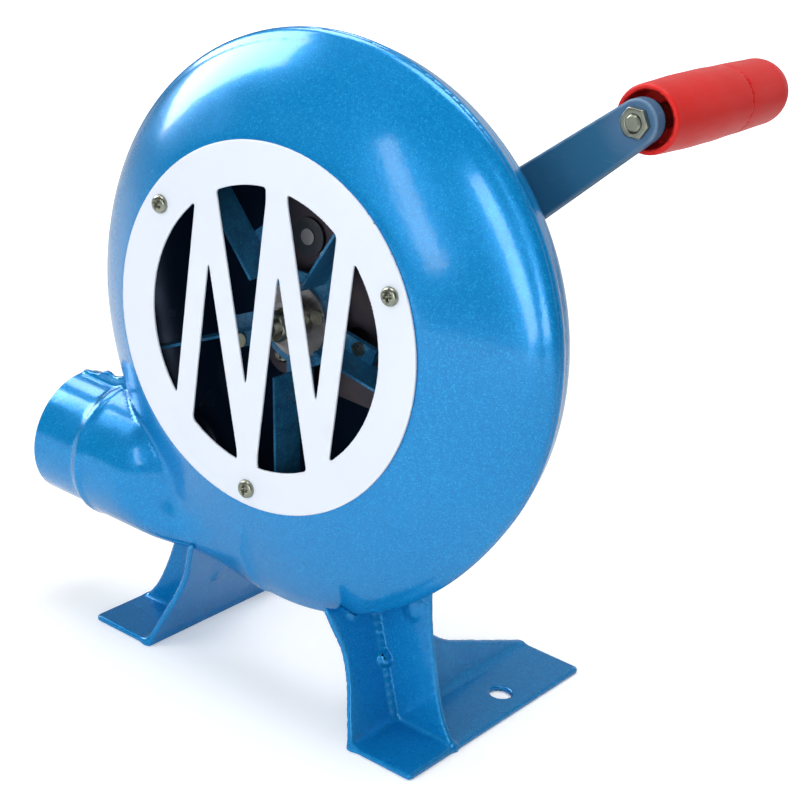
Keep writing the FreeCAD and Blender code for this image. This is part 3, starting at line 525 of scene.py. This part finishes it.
def face_out(points, quads, normals):
    """Turn every quad so that it faces along the given point normals."""
    corner = points[quads]
    face = np.cross(corner[:, 2] - corner[:, 0], corner[:, 3] - corner[:, 1])
    wrong = (face * normals[quads].sum(axis=1)).sum(axis=1) < 0
    quads[wrong] = quads[wrong][:, ::-1]
    return quads


def smooth_normals(level, points):
    """Unit normals of the level function's surface."""
    normals = slope(level, points)
    return normals / np.maximum(np.linalg.norm(normals, axis=1, keepdims=True), 1e-9)


def shaded_mesh(name, points, faces, corner_normals):
    """A smooth shaded mesh whose face corners carry the given normals."""
    mesh = bpy.data.meshes.new(name)
    mesh.from_pydata(to_frame(points).tolist(), [], faces.tolist())
    for face in mesh.polygons:
        face.use_smooth = True
    mesh.normals_split_custom_set(corner_normals.tolist())
    return mesh


def sheet_mesh(name, points, quads, normals, held, thickness):
    """A sheet of even thickness under a surface, with exact smooth normals on both faces."""
    quads = face_out(points, quads, normals)
    inward = np.where(held, 0.0, normals)
    inward /= np.linalg.norm(inward, axis=1, keepdims=True)
    under = points - inward * thickness
    edge = open_edges(quads)
    count = len(points)
    rim = np.stack([edge[:, 1], edge[:, 0], edge[:, 0] + count, edge[:, 1] + count], axis=1)
    every = np.concatenate([points, under])
    faces = np.concatenate([quads, quads[:, ::-1] + count, rim])
    used = np.unique(faces)
    fresh = np.full(len(every), -1)
    fresh[used] = np.arange(len(used))
    across = every[rim]
    flat = np.cross(across[:, 2] - across[:, 0], across[:, 3] - across[:, 1])
    flat /= np.maximum(np.linalg.norm(flat, axis=1, keepdims=True), 1e-9)
    corners = np.concatenate([normals[quads].reshape(-1, 3),
                              -normals[quads[:, ::-1]].reshape(-1, 3),
                              np.repeat(flat, 4, axis=0)])
    mesh = shaded_mesh(name, every[used], fresh[faces], corners)
    inner = mesh.attributes.new("inside", "FLOAT", "FACE")
    inner.data.foreach_set("value", np.repeat([0.0, 1.0, 0.0], [len(quads), len(quads), len(rim)]))
    return mesh


def solid_piece(name, level, box, cell, body, slot, materials, replaced=()):
    """A closed piece from its level function; box is (x from, x to, y from, y to, z from, z to)."""
    sizes = cell if isinstance(cell, tuple) else (cell, cell, cell)
    grids = [np.arange(box[2 * a] - sizes[a], box[2 * a + 1] + 1.5 * sizes[a], sizes[a])
             for a in range(3)]
    cells, quads = surface_net(level, *grids)
    start = cell_middles(cells, *grids)
    points = settle(level, start.copy())
    reach = np.array(sizes) * 0.75
    points = np.clip(points, start - reach, start + reach)
    normals = smooth_normals(level, points)
    quads = face_out(points, quads, normals)
    mesh = shaded_mesh(name, points, quads, normals[quads].reshape(-1, 3))
    return add_object(name, mesh, body, slot, materials, replaced)


def make_housing(materials):
    """The front and rear bowls, each with its half of the spout."""
    for side, name, node in ((-1, "housing_front", "front_shell"),
                             (1, "housing_rear", "rear_shell")):
        points, quads, held = housing_half(side)
        normals = smooth_normals(housing_level, points)
        mesh = sheet_mesh(name, points, quads, normals, held, SHEET)
        add_object(name, mesh, "housing", "housing_paint", materials, [node])


# ---- legs ----
LEG_SHEET = 2.5
FOOT_INNER = 51.2
FOOT_OUTER = 80.6
FOOT_FRONT = -15.6
FOOT_REAR = 100.6
FOOT_CORNER = 2.0
FOOT_HOLE = (69.5, 59.3, 4.5)
WALL_SPLAY = radians(20)
LEG_TOP = 78.0
WEB_FRONT = 12.5
WALL_FRONT_EDGE = [(-15.6, 0.0), (-13.6, 9.0), (-9.8, 23.0), (-9.4, 34.0), (-13.0, 45.0),
                   (-15.6, 53.0), (-17.5, 58.0)]
WALL_SHOULDER = 53.2
SHOULDER_SLOPE = 0.35
SHOULDER_ROUND = 2.4
WALL_REAR_EDGE = [(19.2, 90.0), (20.2, 78.0), (30.0, 39.5), (46.7, 22.0), (70.0, 13.0),
                  (98.0, 3.6), (101.0, 0.0)]
WEB_EDGE = [(80.4, 1.0), (74.0, 10.0), (69.6, 21.0), (66.8, 31.0), (63.0, 45.0), (60.6, 60.0),
            (59.0, 78.0)]
EDGE_ROUND = 1.0
WELD_RADIUS = 0.9
TACK_HEIGHT = 26.5
TACK_HOLE = 1.8
TACK_RING = (2.6, 0.7)
BLOB = (54.0, 52.0, 4.5)
LEG_CELL = 1.15


def smooth_run(points, count=160):
    """A smooth curve through a few points, finely divided."""
    row = np.array(points, float)
    row = np.concatenate([[2 * row[0] - row[1]], row, [2 * row[-1] - row[-2]]])
    spans = len(row) - 3
    t = np.linspace(0, spans, count, endpoint=False)
    k = t.astype(int)
    u = (t - k)[:, None]
    a, b, c, d = (row[k + i] for i in range(4))
    curve = b + 0.5 * u * (c - a + u * (2 * a - 5 * b + 4 * c - d + u * (3 * (b - c) + d - a)))
    return np.concatenate([curve, row[-2:-1]])


def edge_reader(points):
    """How far along the first direction a sheet's edge lies, for each height."""
    curve = smooth_run(points)
    curve = curve[np.argsort(curve[:, 1])]
    lean = np.gradient(curve[:, 0], curve[:, 1] + 1e-7 * np.arange(len(curve)))

    def read(height):
        place = np.interp(height, curve[:, 1], curve[:, 0])
        return place, np.sqrt(1 + np.interp(height, curve[:, 1], lean) ** 2)

    return read


wall_front = edge_reader(WALL_FRONT_EDGE)
wall_rear = edge_reader(WALL_REAR_EDGE)
web_edge = edge_reader(WEB_EDGE)


def lumps(along, size):
    """Uneven beads of weld along a run."""
    return size * (np.sin(along * 1.9) + 0.6 * np.sin(along * 0.83 + 1.0))


def right_leg_level(x, y, z):
    """Outside distance of the pressed and welded leg; z is measured from the fan axis."""
    height = z + AXIS_HEIGHT
    skin = (x - FOOT_INNER) * cos(WALL_SPLAY) + height * sin(WALL_SPLAY)
    front, front_lean = wall_front(height)
    rear, rear_lean = wall_rear(height)
    wall = np.abs(skin - LEG_SHEET / 2) - LEG_SHEET / 2
    wall = rounded(wall, (front - y) / front_lean, EDGE_ROUND)
    wall = rounded(wall, (y - rear) / rear_lean, EDGE_ROUND)
    shoulder = WALL_SHOULDER - SHOULDER_SLOPE * (y - FOOT_FRONT) + 60.0 * ease(y, 3.0, 12.0)
    wall = rounded(wall, height - shoulder, SHOULDER_ROUND)

    outer, outer_lean = web_edge(height)
    web = np.abs(y - WEB_FRONT - LEG_SHEET / 2) - LEG_SHEET / 2
    web = rounded(web, (x - outer) / outer_lean, EDGE_ROUND)
    web = np.maximum(web, LEG_SHEET / 2 - skin)

    half_x = (FOOT_OUTER - FOOT_INNER) / 2 - FOOT_CORNER
    half_y = (FOOT_REAR - FOOT_FRONT) / 2 - FOOT_CORNER
    off_x = np.abs(x - (FOOT_OUTER + FOOT_INNER) / 2) - half_x
    off_y = np.abs(y - (FOOT_REAR + FOOT_FRONT) / 2) - half_y
    outline = np.hypot(np.maximum(off_x, 0), np.maximum(off_y, 0)) - FOOT_CORNER
    outline = outline + np.minimum(np.maximum(off_x, off_y), 0)
    hole = FOOT_HOLE[2] - np.hypot(x - FOOT_HOLE[0], y - FOOT_HOLE[1])
    foot = rounded(np.abs(height - LEG_SHEET / 2) - LEG_SHEET / 2, outline, EDGE_ROUND)
    foot = rounded(foot, hole, 0.5)

    form = blended(wall, foot, 3.0)
    form = blended(form, web, 2.0)
    ridge = np.hypot(skin - LEG_SHEET, y - WEB_FRONT + 1.5) - WELD_RADIUS - lumps(height, 0.08)
    ridge = np.maximum(ridge, height - LEG_TOP)
    form = blended(form, ridge, 1.5)
    tack = np.sqrt((skin - LEG_SHEET) ** 2 + (y - WEB_FRONT + 1.5) ** 2
                   + (height - TACK_HEIGHT) ** 2)
    form = np.maximum(form, TACK_HOLE - tack)
    form = blended(form, np.abs(tack - TACK_RING[0]) - TACK_RING[1], 0.8)
    blob = np.sqrt((x - BLOB[0]) ** 2 + (2.2 * (y - WEB_FRONT)) ** 2
                   + (0.8 * (height - BLOB[1])) ** 2)
    form = blended(form, blob - BLOB[2], 1.5)
    form = np.maximum(form, -height)

    bowl = housing_level(x, y, z)
    around = np.hypot(np.maximum(bowl, 0), form) - WELD_RADIUS - lumps(x, 0.08)
    form = blended(form, around, 2.0)
    return np.maximum(form, -bowl)


def left_leg_level(x, y, z):
    """The left leg is the right leg's mirror image."""
    return right_leg_level(-x, y, z)


def make_legs(materials):
    """Both legs; the level functions cut them off at the housing's skin."""
    near, far = 20.0, FOOT_OUTER + 1
    rest = (FOOT_FRONT - 3, FOOT_REAR + 1, -AXIS_HEIGHT, LEG_TOP + 3 - AXIS_HEIGHT)
    for side, level, span in (("right", right_leg_level, (near, far)),
                              ("left", left_leg_level, (-far, -near))):
        solid_piece(f"{side}_leg_sheet", level, span + rest, LEG_CELL, "housing", "leg_paint",
                    materials, [f"{side}_leg"])


# ---- inlet guard and its screws ----
GUARD_RADIUS = 68.0
GUARD_SHEET = 1.0
WINDOW_RADIUS = 52.2
WINDOW_CORNER = 1.2
GUARD_EDGE = 0.35
GUARD_CELL = (0.6, 0.25, 0.6)
BAR_WIDTH = 8.8
BAR_PITCH = 16.3
BAR_LEAN = radians(9.26)
BAR_TURN = radians(7.8)
BAR_COUNT = 5
SCREW_CIRCLE = 61.5
SCREW_ANGLES = [radians(28.6), radians(147.2), radians(270)]
SCREW_TURNS = [radians(20), radians(65), radians(5)]
SCREW_SEAT = -FRONT_DEPTH - GUARD_SHEET
SMALL_CELL = 0.3
HEAD_RADIUS = 3.5
HEAD_HEIGHT = 2.4
HEAD_SQUARENESS = 2.6
RECESS_DEPTH = 1.5
SHANK_RADIUS = 2.0
SHANK_LENGTH = 5.5
THREAD_PITCH = 0.7


def guard_level(x, y, z):
    """A thin disc with six windows; the zigzag is what is left between them."""
    along = x * cos(BAR_TURN) + z * sin(BAR_TURN)
    up = z * cos(BAR_TURN) - x * sin(BAR_TURN)
    radius = np.hypot(x, z)
    window = radius - WINDOW_RADIUS
    for index in range(BAR_COUNT):
        lean = BAR_LEAN if index % 2 == 0 else -BAR_LEAN
        middle = (index - (BAR_COUNT - 1) / 2) * BAR_PITCH
        bar = np.abs((along - middle) * cos(lean) - up * sin(lean)) - BAR_WIDTH / 2
        window = rounded(window, -bar, WINDOW_CORNER)
    face = np.abs(y + FRONT_DEPTH + GUARD_SHEET / 2) - GUARD_SHEET / 2
    return rounded(face, np.maximum(radius - GUARD_RADIUS, -window), GUARD_EDGE)


def guard_screw_level(place_x, place_z, turn):
    """A level function for a pan head with a cross recess, on a threaded shank."""

    def level(x, y, z):
        out = np.hypot(x - place_x, z - place_z)
        across = (x - place_x) * cos(turn) + (z - place_z) * sin(turn)
        up = (z - place_z) * cos(turn) - (x - place_x) * sin(turn)
        height = SCREW_SEAT - y
        head = ((out / HEAD_RADIUS) ** HEAD_SQUARENESS
                + (np.maximum(height, 0) / HEAD_HEIGHT) ** HEAD_SQUARENESS)
        head = (head ** (1 / HEAD_SQUARENESS) - 1) * HEAD_HEIGHT
        head = rounded(head, -height, 0.25)
        depth = HEAD_HEIGHT - height
        slot_half = 0.75 - 0.25 * depth
        reach = 2.2 - 0.7 * depth
        first = rounded(np.abs(across) - slot_half, np.abs(up) - reach, 0.2)
        second = rounded(np.abs(up) - slot_half, np.abs(across) - reach, 0.2)
        recess = np.maximum(np.minimum(first, second), depth - RECESS_DEPTH)
        head = rounded(head, -recess, 0.15)
        thread = SHANK_RADIUS - 0.15 - 0.15 * np.cos(height * 2 * pi / THREAD_PITCH)
        shank = rounded(out - thread, -height - SHANK_LENGTH, 0.3)
        return np.minimum(head, np.maximum(shank, height - 0.5))

    return level


def make_guard(materials):
    """The guard and its three screws, each a piece of its own."""
    edge = GUARD_RADIUS + 0.5
    solid_piece("guard_plate", guard_level,
                (-edge, edge, -FRONT_DEPTH - GUARD_SHEET, -FRONT_DEPTH, -edge, edge),
                GUARD_CELL, "housing", "guard_paint", materials, ["inlet_guard"])
    margin = HEAD_RADIUS + 0.7
    for index, (angle, turn) in enumerate(zip(SCREW_ANGLES, SCREW_TURNS)):
        x = SCREW_CIRCLE * cos(angle)
        z = SCREW_CIRCLE * sin(angle)
        box = (x - margin, x + margin, SCREW_SEAT - HEAD_HEIGHT, SCREW_SEAT + SHANK_LENGTH,
               z - margin, z + margin)
        solid_piece(f"guard_screw_{index + 1}", guard_screw_level(x, z, turn), box, SMALL_CELL,
                    "housing", "zinc", materials, ["guard_screws"] if index == 0 else ())


# ---- crank arm, its nut and the grip ----
CRANK_AXIS = 1000 * (Vector(CRANK_PLACE) - Vector(FAN_AXIS))
GRIP_AXIS = 1000 * (Vector(GRIP_PLACE) - Vector(FAN_AXIS))
ARM_FRONT = 36.0
ARM_THICKNESS = 6.0
ARM_BIG_RADIUS = 12.0
ARM_SMALL_RADIUS = 8.0
ARM_EDGE = 0.9
CRANK_BORE = 5.0
SPINDLE_BORE = 3.05
NUT_HALF_FLATS = 5.0
NUT_HEIGHT = 2.4
GRIP_FRONT = 42.6
GRIP_JOINT = 96.0
GRIP_END = 133.0
GRIP_BELLY = [(12.1, 42.6), (12.75, 60.0), (12.9, 78.0), (12.6, 96.0)]
GRIP_CUP = (10.0, 13.0)
GRIP_BORE = 4.05
GRIP_POCKET = (9.5, 87.8)
CAP_EDGE_RADIUS = 12.2
CAP_SPIGOT = 9.48
CAP_SPIGOT_LENGTH = 2.0
CAP_POCKET = (7.2, 2.0)
DOME_LENGTH = 12.5
DOME_SQUARENESS = 2.2
DOME_POWERS = (2.5, 1.82)
ARM_CELL = (0.9, 0.6, 0.9)
GRIP_CELL = 1.0


def arm_level(x, y, z):
    """A flat bar that tapers from the shaft to the grip, with rounded ends."""
    run_x = GRIP_AXIS.x - CRANK_AXIS.x
    run_z = GRIP_AXIS.z - CRANK_AXIS.z
    length = np.hypot(run_x, run_z)
    off_x = x - CRANK_AXIS.x
    off_z = z - CRANK_AXIS.z
    along = (off_x * run_x + off_z * run_z) / length
    side = np.abs(off_z * run_x - off_x * run_z) / length
    taper = (ARM_BIG_RADIUS - ARM_SMALL_RADIUS) / length
    square = np.sqrt(1 - taper * taper)
    straight = side * square + along * taper - ARM_BIG_RADIUS
    near_end = np.hypot(along, side) - ARM_BIG_RADIUS
    far_end = np.hypot(along - length, side) - ARM_SMALL_RADIUS
    edge_run = along * square - side * taper
    outline = np.where(edge_run < 0, near_end, np.where(edge_run > square * length, far_end,
                                                        straight))
    outline = np.maximum(outline, CRANK_BORE - np.hypot(off_x, off_z))
    outline = np.maximum(outline, SPINDLE_BORE - np.hypot(x - GRIP_AXIS.x, z - GRIP_AXIS.z))
    face = np.abs(y - ARM_FRONT - ARM_THICKNESS / 2) - ARM_THICKNESS / 2
    return rounded(face, outline, ARM_EDGE)


def handle_nut_level(x, y, z):
    """A thin hexagon nut with a chamfered face and bore."""
    across = x - GRIP_AXIS.x
    up = z - GRIP_AXIS.z
    out = np.hypot(across, up)
    hexagon = np.abs(up) - NUT_HALF_FLATS
    for angle in (pi / 3, -pi / 3):
        hexagon = rounded(hexagon, np.abs(across * sin(angle) + up * cos(angle)) - NUT_HALF_FLATS,
                          0.3)
    depth = y - (ARM_FRONT - NUT_HEIGHT)
    chamfer = (out - NUT_HALF_FLATS + 0.1 - 1.8 * depth) / 2.06
    face = np.abs(depth - NUT_HEIGHT / 2) - NUT_HEIGHT / 2
    nut = rounded(rounded(hexagon, face, 0.2), chamfer, 0.2)
    countersink = (3.3 - depth - out) * 0.7
    return rounded(nut, np.maximum(countersink, 3.02 - out), 0.12)


def grip_rho(x, z):
    """Distance from the grip's axis."""
    return np.hypot(x - GRIP_AXIS.x, z - GRIP_AXIS.z)


belly = edge_reader(GRIP_BELLY)


def grip_body_level(x, y, z):
    """A barrel-shaped sleeve, hollow at the arm end and open for the spindle's head."""
    rho = grip_rho(x, z)
    reach, lean = belly(y)
    flow = 0.04 * np.sin(y * 0.35 + 2 * np.arctan2(z - GRIP_AXIS.z, x - GRIP_AXIS.x))
    sleeve = rounded((rho - reach - flow) / lean, GRIP_FRONT - y, 1.0)
    sleeve = rounded(sleeve, y - GRIP_JOINT, 0.45)
    cup = np.maximum(rho - GRIP_CUP[0], y - GRIP_FRONT - GRIP_CUP[1])
    pocket = np.maximum(rho - GRIP_POCKET[0], GRIP_POCKET[1] - y)
    hollow = np.minimum(np.minimum(cup, pocket), rho - GRIP_BORE)
    return rounded(sleeve, -hollow, 0.4)


def grip_cap_level(x, y, z):
    """The domed end of the grip, with a spigot that sits in the sleeve."""
    rho = grip_rho(x, z)
    start = GRIP_END - DOME_LENGTH
    taper = CAP_EDGE_RADIUS + (GRIP_BELLY[-1][0] - CAP_EDGE_RADIUS) * ease(start - y, 0.0, 22.0)
    beyond = np.maximum(y - start, 0.0) / DOME_LENGTH
    size = (rho / taper) ** DOME_POWERS[0] + beyond ** DOME_POWERS[1] + 1e-9
    size = size ** (1 / DOME_SQUARENESS)
    dome = (size - 1) * CAP_EDGE_RADIUS
    shell = rounded(dome, GRIP_JOINT - y, 0.45)
    spigot = np.maximum(rho - CAP_SPIGOT, GRIP_JOINT - CAP_SPIGOT_LENGTH - y)
    spigot = np.maximum(spigot, y - GRIP_JOINT - 1.0)
    pocket = np.maximum(rho - CAP_POCKET[0], y - GRIP_JOINT - CAP_POCKET[1])
    return rounded(np.minimum(shell, spigot), -pocket, 0.3)


def around_grip(reach, y_from, y_to):
    """A box about the grip's axis."""
    return (GRIP_AXIS.x - reach, GRIP_AXIS.x + reach, y_from, y_to,
            GRIP_AXIS.z - reach, GRIP_AXIS.z + reach)


def make_crank(materials):
    """The crank arm, its nut and the two pieces of the grip."""
    box = (CRANK_AXIS.x - 13, GRIP_AXIS.x + 9, ARM_FRONT, ARM_FRONT + ARM_THICKNESS,
           CRANK_AXIS.z - 13, GRIP_AXIS.z + 9)
    solid_piece("crank_arm_bar", arm_level, box, ARM_CELL, "crank", "arm_paint",
                materials, ["crank_arm"])
    solid_piece("handle_nut_hex", handle_nut_level,
                around_grip(6.2, ARM_FRONT - NUT_HEIGHT, ARM_FRONT), SMALL_CELL, "crank", "zinc",
                materials, ["handle_nut"])
    solid_piece("grip_sleeve", grip_body_level, around_grip(13.5, GRIP_FRONT, GRIP_JOINT),
                GRIP_CELL, "grip", "grip_plastic", materials, ["grip_body"])
    solid_piece("grip_end", grip_cap_level,
                around_grip(13.5, GRIP_JOINT - CAP_SPIGOT_LENGTH, GRIP_END), GRIP_CELL,
                "grip", "grip_plastic", materials, ["grip_cap"])


# ---- floor, lights and camera ----
def floor_material():
    """Pale paper sweep with a painted glow seen only by the camera, dimmed near the object as a painted shadow,
    and paper white further off.
    """
    s = Shader("paper")
    weave = s.noise(900.0, 4.0)
    tone = s.mix(s.noise(3.0), grey(0.86), grey(0.90))
    spot = s.node("VectorMath", {0: s.place}, operation="LENGTH").outputs["Value"]
    # painted light: the paper glows to the camera alone, dimmer close to the object as a painted shadow round it
    far = s.spread(spot, 0.25, 1.1, 0.30, 1.0)
    seen = s.node("LightPath").outputs["Is Camera Ray"]
    painted_floor_glow = s.math("MULTIPLY", far, seen)
    return s.finish(base_color=tone, roughness=0.85, normal=s.bump(weave, 0.00005, 0.2),
                    emission_color=colour(0.93, 0.98, 1.0), emission_strength=painted_floor_glow)


def make_floor():
    """A flat sheet of paper, far wider than the picture."""
    half = FLOOR_HALF
    mesh = bpy.data.meshes.new("floor")
    corners = [(-half, -half, 0), (half, -half, 0), (half, half, 0), (-half, half, 0)]
    mesh.from_pydata(corners, [], [(0, 1, 2, 3)])
    mesh.materials.append(floor_material())
    floor = bpy.data.objects.new("floor", mesh)
    bpy.context.scene.collection.objects.link(floor)


def from_bearing(azimuth, elevation, distance):
    """A place seen from the object; azimuth 0 is straight ahead of the guard, + to the right."""
    flat = distance * cos(radians(elevation))
    height = distance * sin(radians(elevation))
    side = flat * sin(radians(azimuth))
    ahead = -flat * cos(radians(azimuth))
    return Vector(STUDIO_CENTRE) + Vector((side, ahead, height))


def soft_light(name, start, end, width, power):
    """A rectangular light that runs from one bearing to another and faces the object."""
    first = from_bearing(*start, LIGHT_DISTANCE)
    last = from_bearing(*end, LIGHT_DISTANCE)
    middle = (first + last) / 2
    back = (middle - Vector(STUDIO_CENTRE)).normalized()
    along = (last - first).normalized()
    across = along.cross(back).normalized()
    along = back.cross(across)
    light = bpy.data.lights.new(name, "AREA")
    light.shape = "RECTANGLE"
    light.size = width
    light.size_y = (last - first).length
    light.energy = power
    lamp = bpy.data.objects.new(name, light)
    turn = Matrix((across, along, back)).transposed().to_4x4()
    lamp.matrix_world = Matrix.Translation(middle) @ turn
    bpy.context.scene.collection.objects.link(lamp)
    return lamp


def make_lights():
    """Windows and strips make the highlights; the fills only lift the shadows."""
    left = soft_light("window_left", (-94, 9), (-70, 42), 0.50, 17.0)
    left.visible_diffuse = False
    high = soft_light("window_high", (-124, 38), (-98, 64), 0.60, 10.0)
    high.visible_diffuse = False
    soft_light("strip_front", (-13, 33), (10, 7), 0.12, 2.1)
    soft_light("strip_right", (22, 38), (48, -2), 0.24, 7.0)
    soft_light("overhead", (150, 62), (-30, 74), 0.6, 13.0)
    front = soft_light("front_fill", (-46, 26), (-6, 42), 0.9, 6.5)
    front.visible_glossy = False
    low = soft_light("low_fill", (-25, 5), (40, 5), 0.5, 2.6)
    low.visible_glossy = False
    bpy.context.scene.world = studio_world()


def studio_world():
    """White to the camera, dim as a light, and brightest in mirrors straight behind the object."""
    world = bpy.data.worlds.new("studio")
    world.use_nodes = True
    tree = world.node_tree
    background = tree.nodes["Background"]
    background.inputs["Color"].default_value = grey(1.0)
    rays = tree.nodes.new("ShaderNodeLightPath")
    seen = tree.nodes.new("ShaderNodeMapRange")
    seen.inputs["To Min"].default_value = 0.29
    seen.inputs["To Max"].default_value = 1.0
    tree.links.new(rays.outputs["Is Camera Ray"], seen.inputs["Value"])
    # the paper wall behind the object is what its flat tops mirror
    bearing = tree.nodes.new("ShaderNodeSeparateXYZ")
    tree.links.new(tree.nodes.new("ShaderNodeTexCoord").outputs["Generated"],
                   bearing.inputs["Vector"])
    wall = tree.nodes.new("ShaderNodeMapRange")
    wall.inputs["From Min"].default_value = 0.50
    wall.inputs["From Max"].default_value = 0.95
    wall.inputs["To Min"].default_value = 0.05
    wall.inputs["To Max"].default_value = 0.75
    tree.links.new(bearing.outputs["Y"], wall.inputs["Value"])
    mirrored = tree.nodes.new("ShaderNodeMapRange")
    tree.links.new(wall.outputs["Result"], mirrored.inputs["To Max"])
    tree.links.new(rays.outputs["Is Glossy Ray"], mirrored.inputs["Value"])
    tree.links.new(seen.outputs["Result"], mirrored.inputs["To Min"])
    tree.links.new(mirrored.outputs["Result"], background.inputs["Strength"])
    return world


def make_camera():
    """The camera stands to the right of the guard and above it, and leans a little."""
    lens = bpy.data.cameras.new("camera")
    lens.sensor_width = 36.0
    lens.lens = CAMERA_LENS
    lens.clip_end = 30.0
    camera = bpy.data.objects.new("camera", lens)
    flat = cos(CAMERA_ELEVATION)
    back = Vector((sin(CAMERA_AZIMUTH) * flat, -cos(CAMERA_AZIMUTH) * flat,
                   sin(CAMERA_ELEVATION)))
    turn = Matrix.Rotation(CAMERA_ROLL, 4, "Z")
    view = back.to_track_quat("Z", "Y").to_matrix().to_4x4()
    camera.matrix_world = Matrix.Translation(Vector(CAMERA_PLACE)) @ view @ turn
    bpy.context.scene.collection.objects.link(camera)
    bpy.context.scene.camera = camera


def main():
    """Build everything, in the order in which it is listed above."""
    materials = make_materials()
    paint_cad(materials)
    make_housing(materials)
    make_legs(materials)
    make_guard(materials)
    make_crank(materials)
    make_floor()
    make_lights()
    make_camera()
    bpy.context.scene.view_settings.view_transform = "Standard"


main()
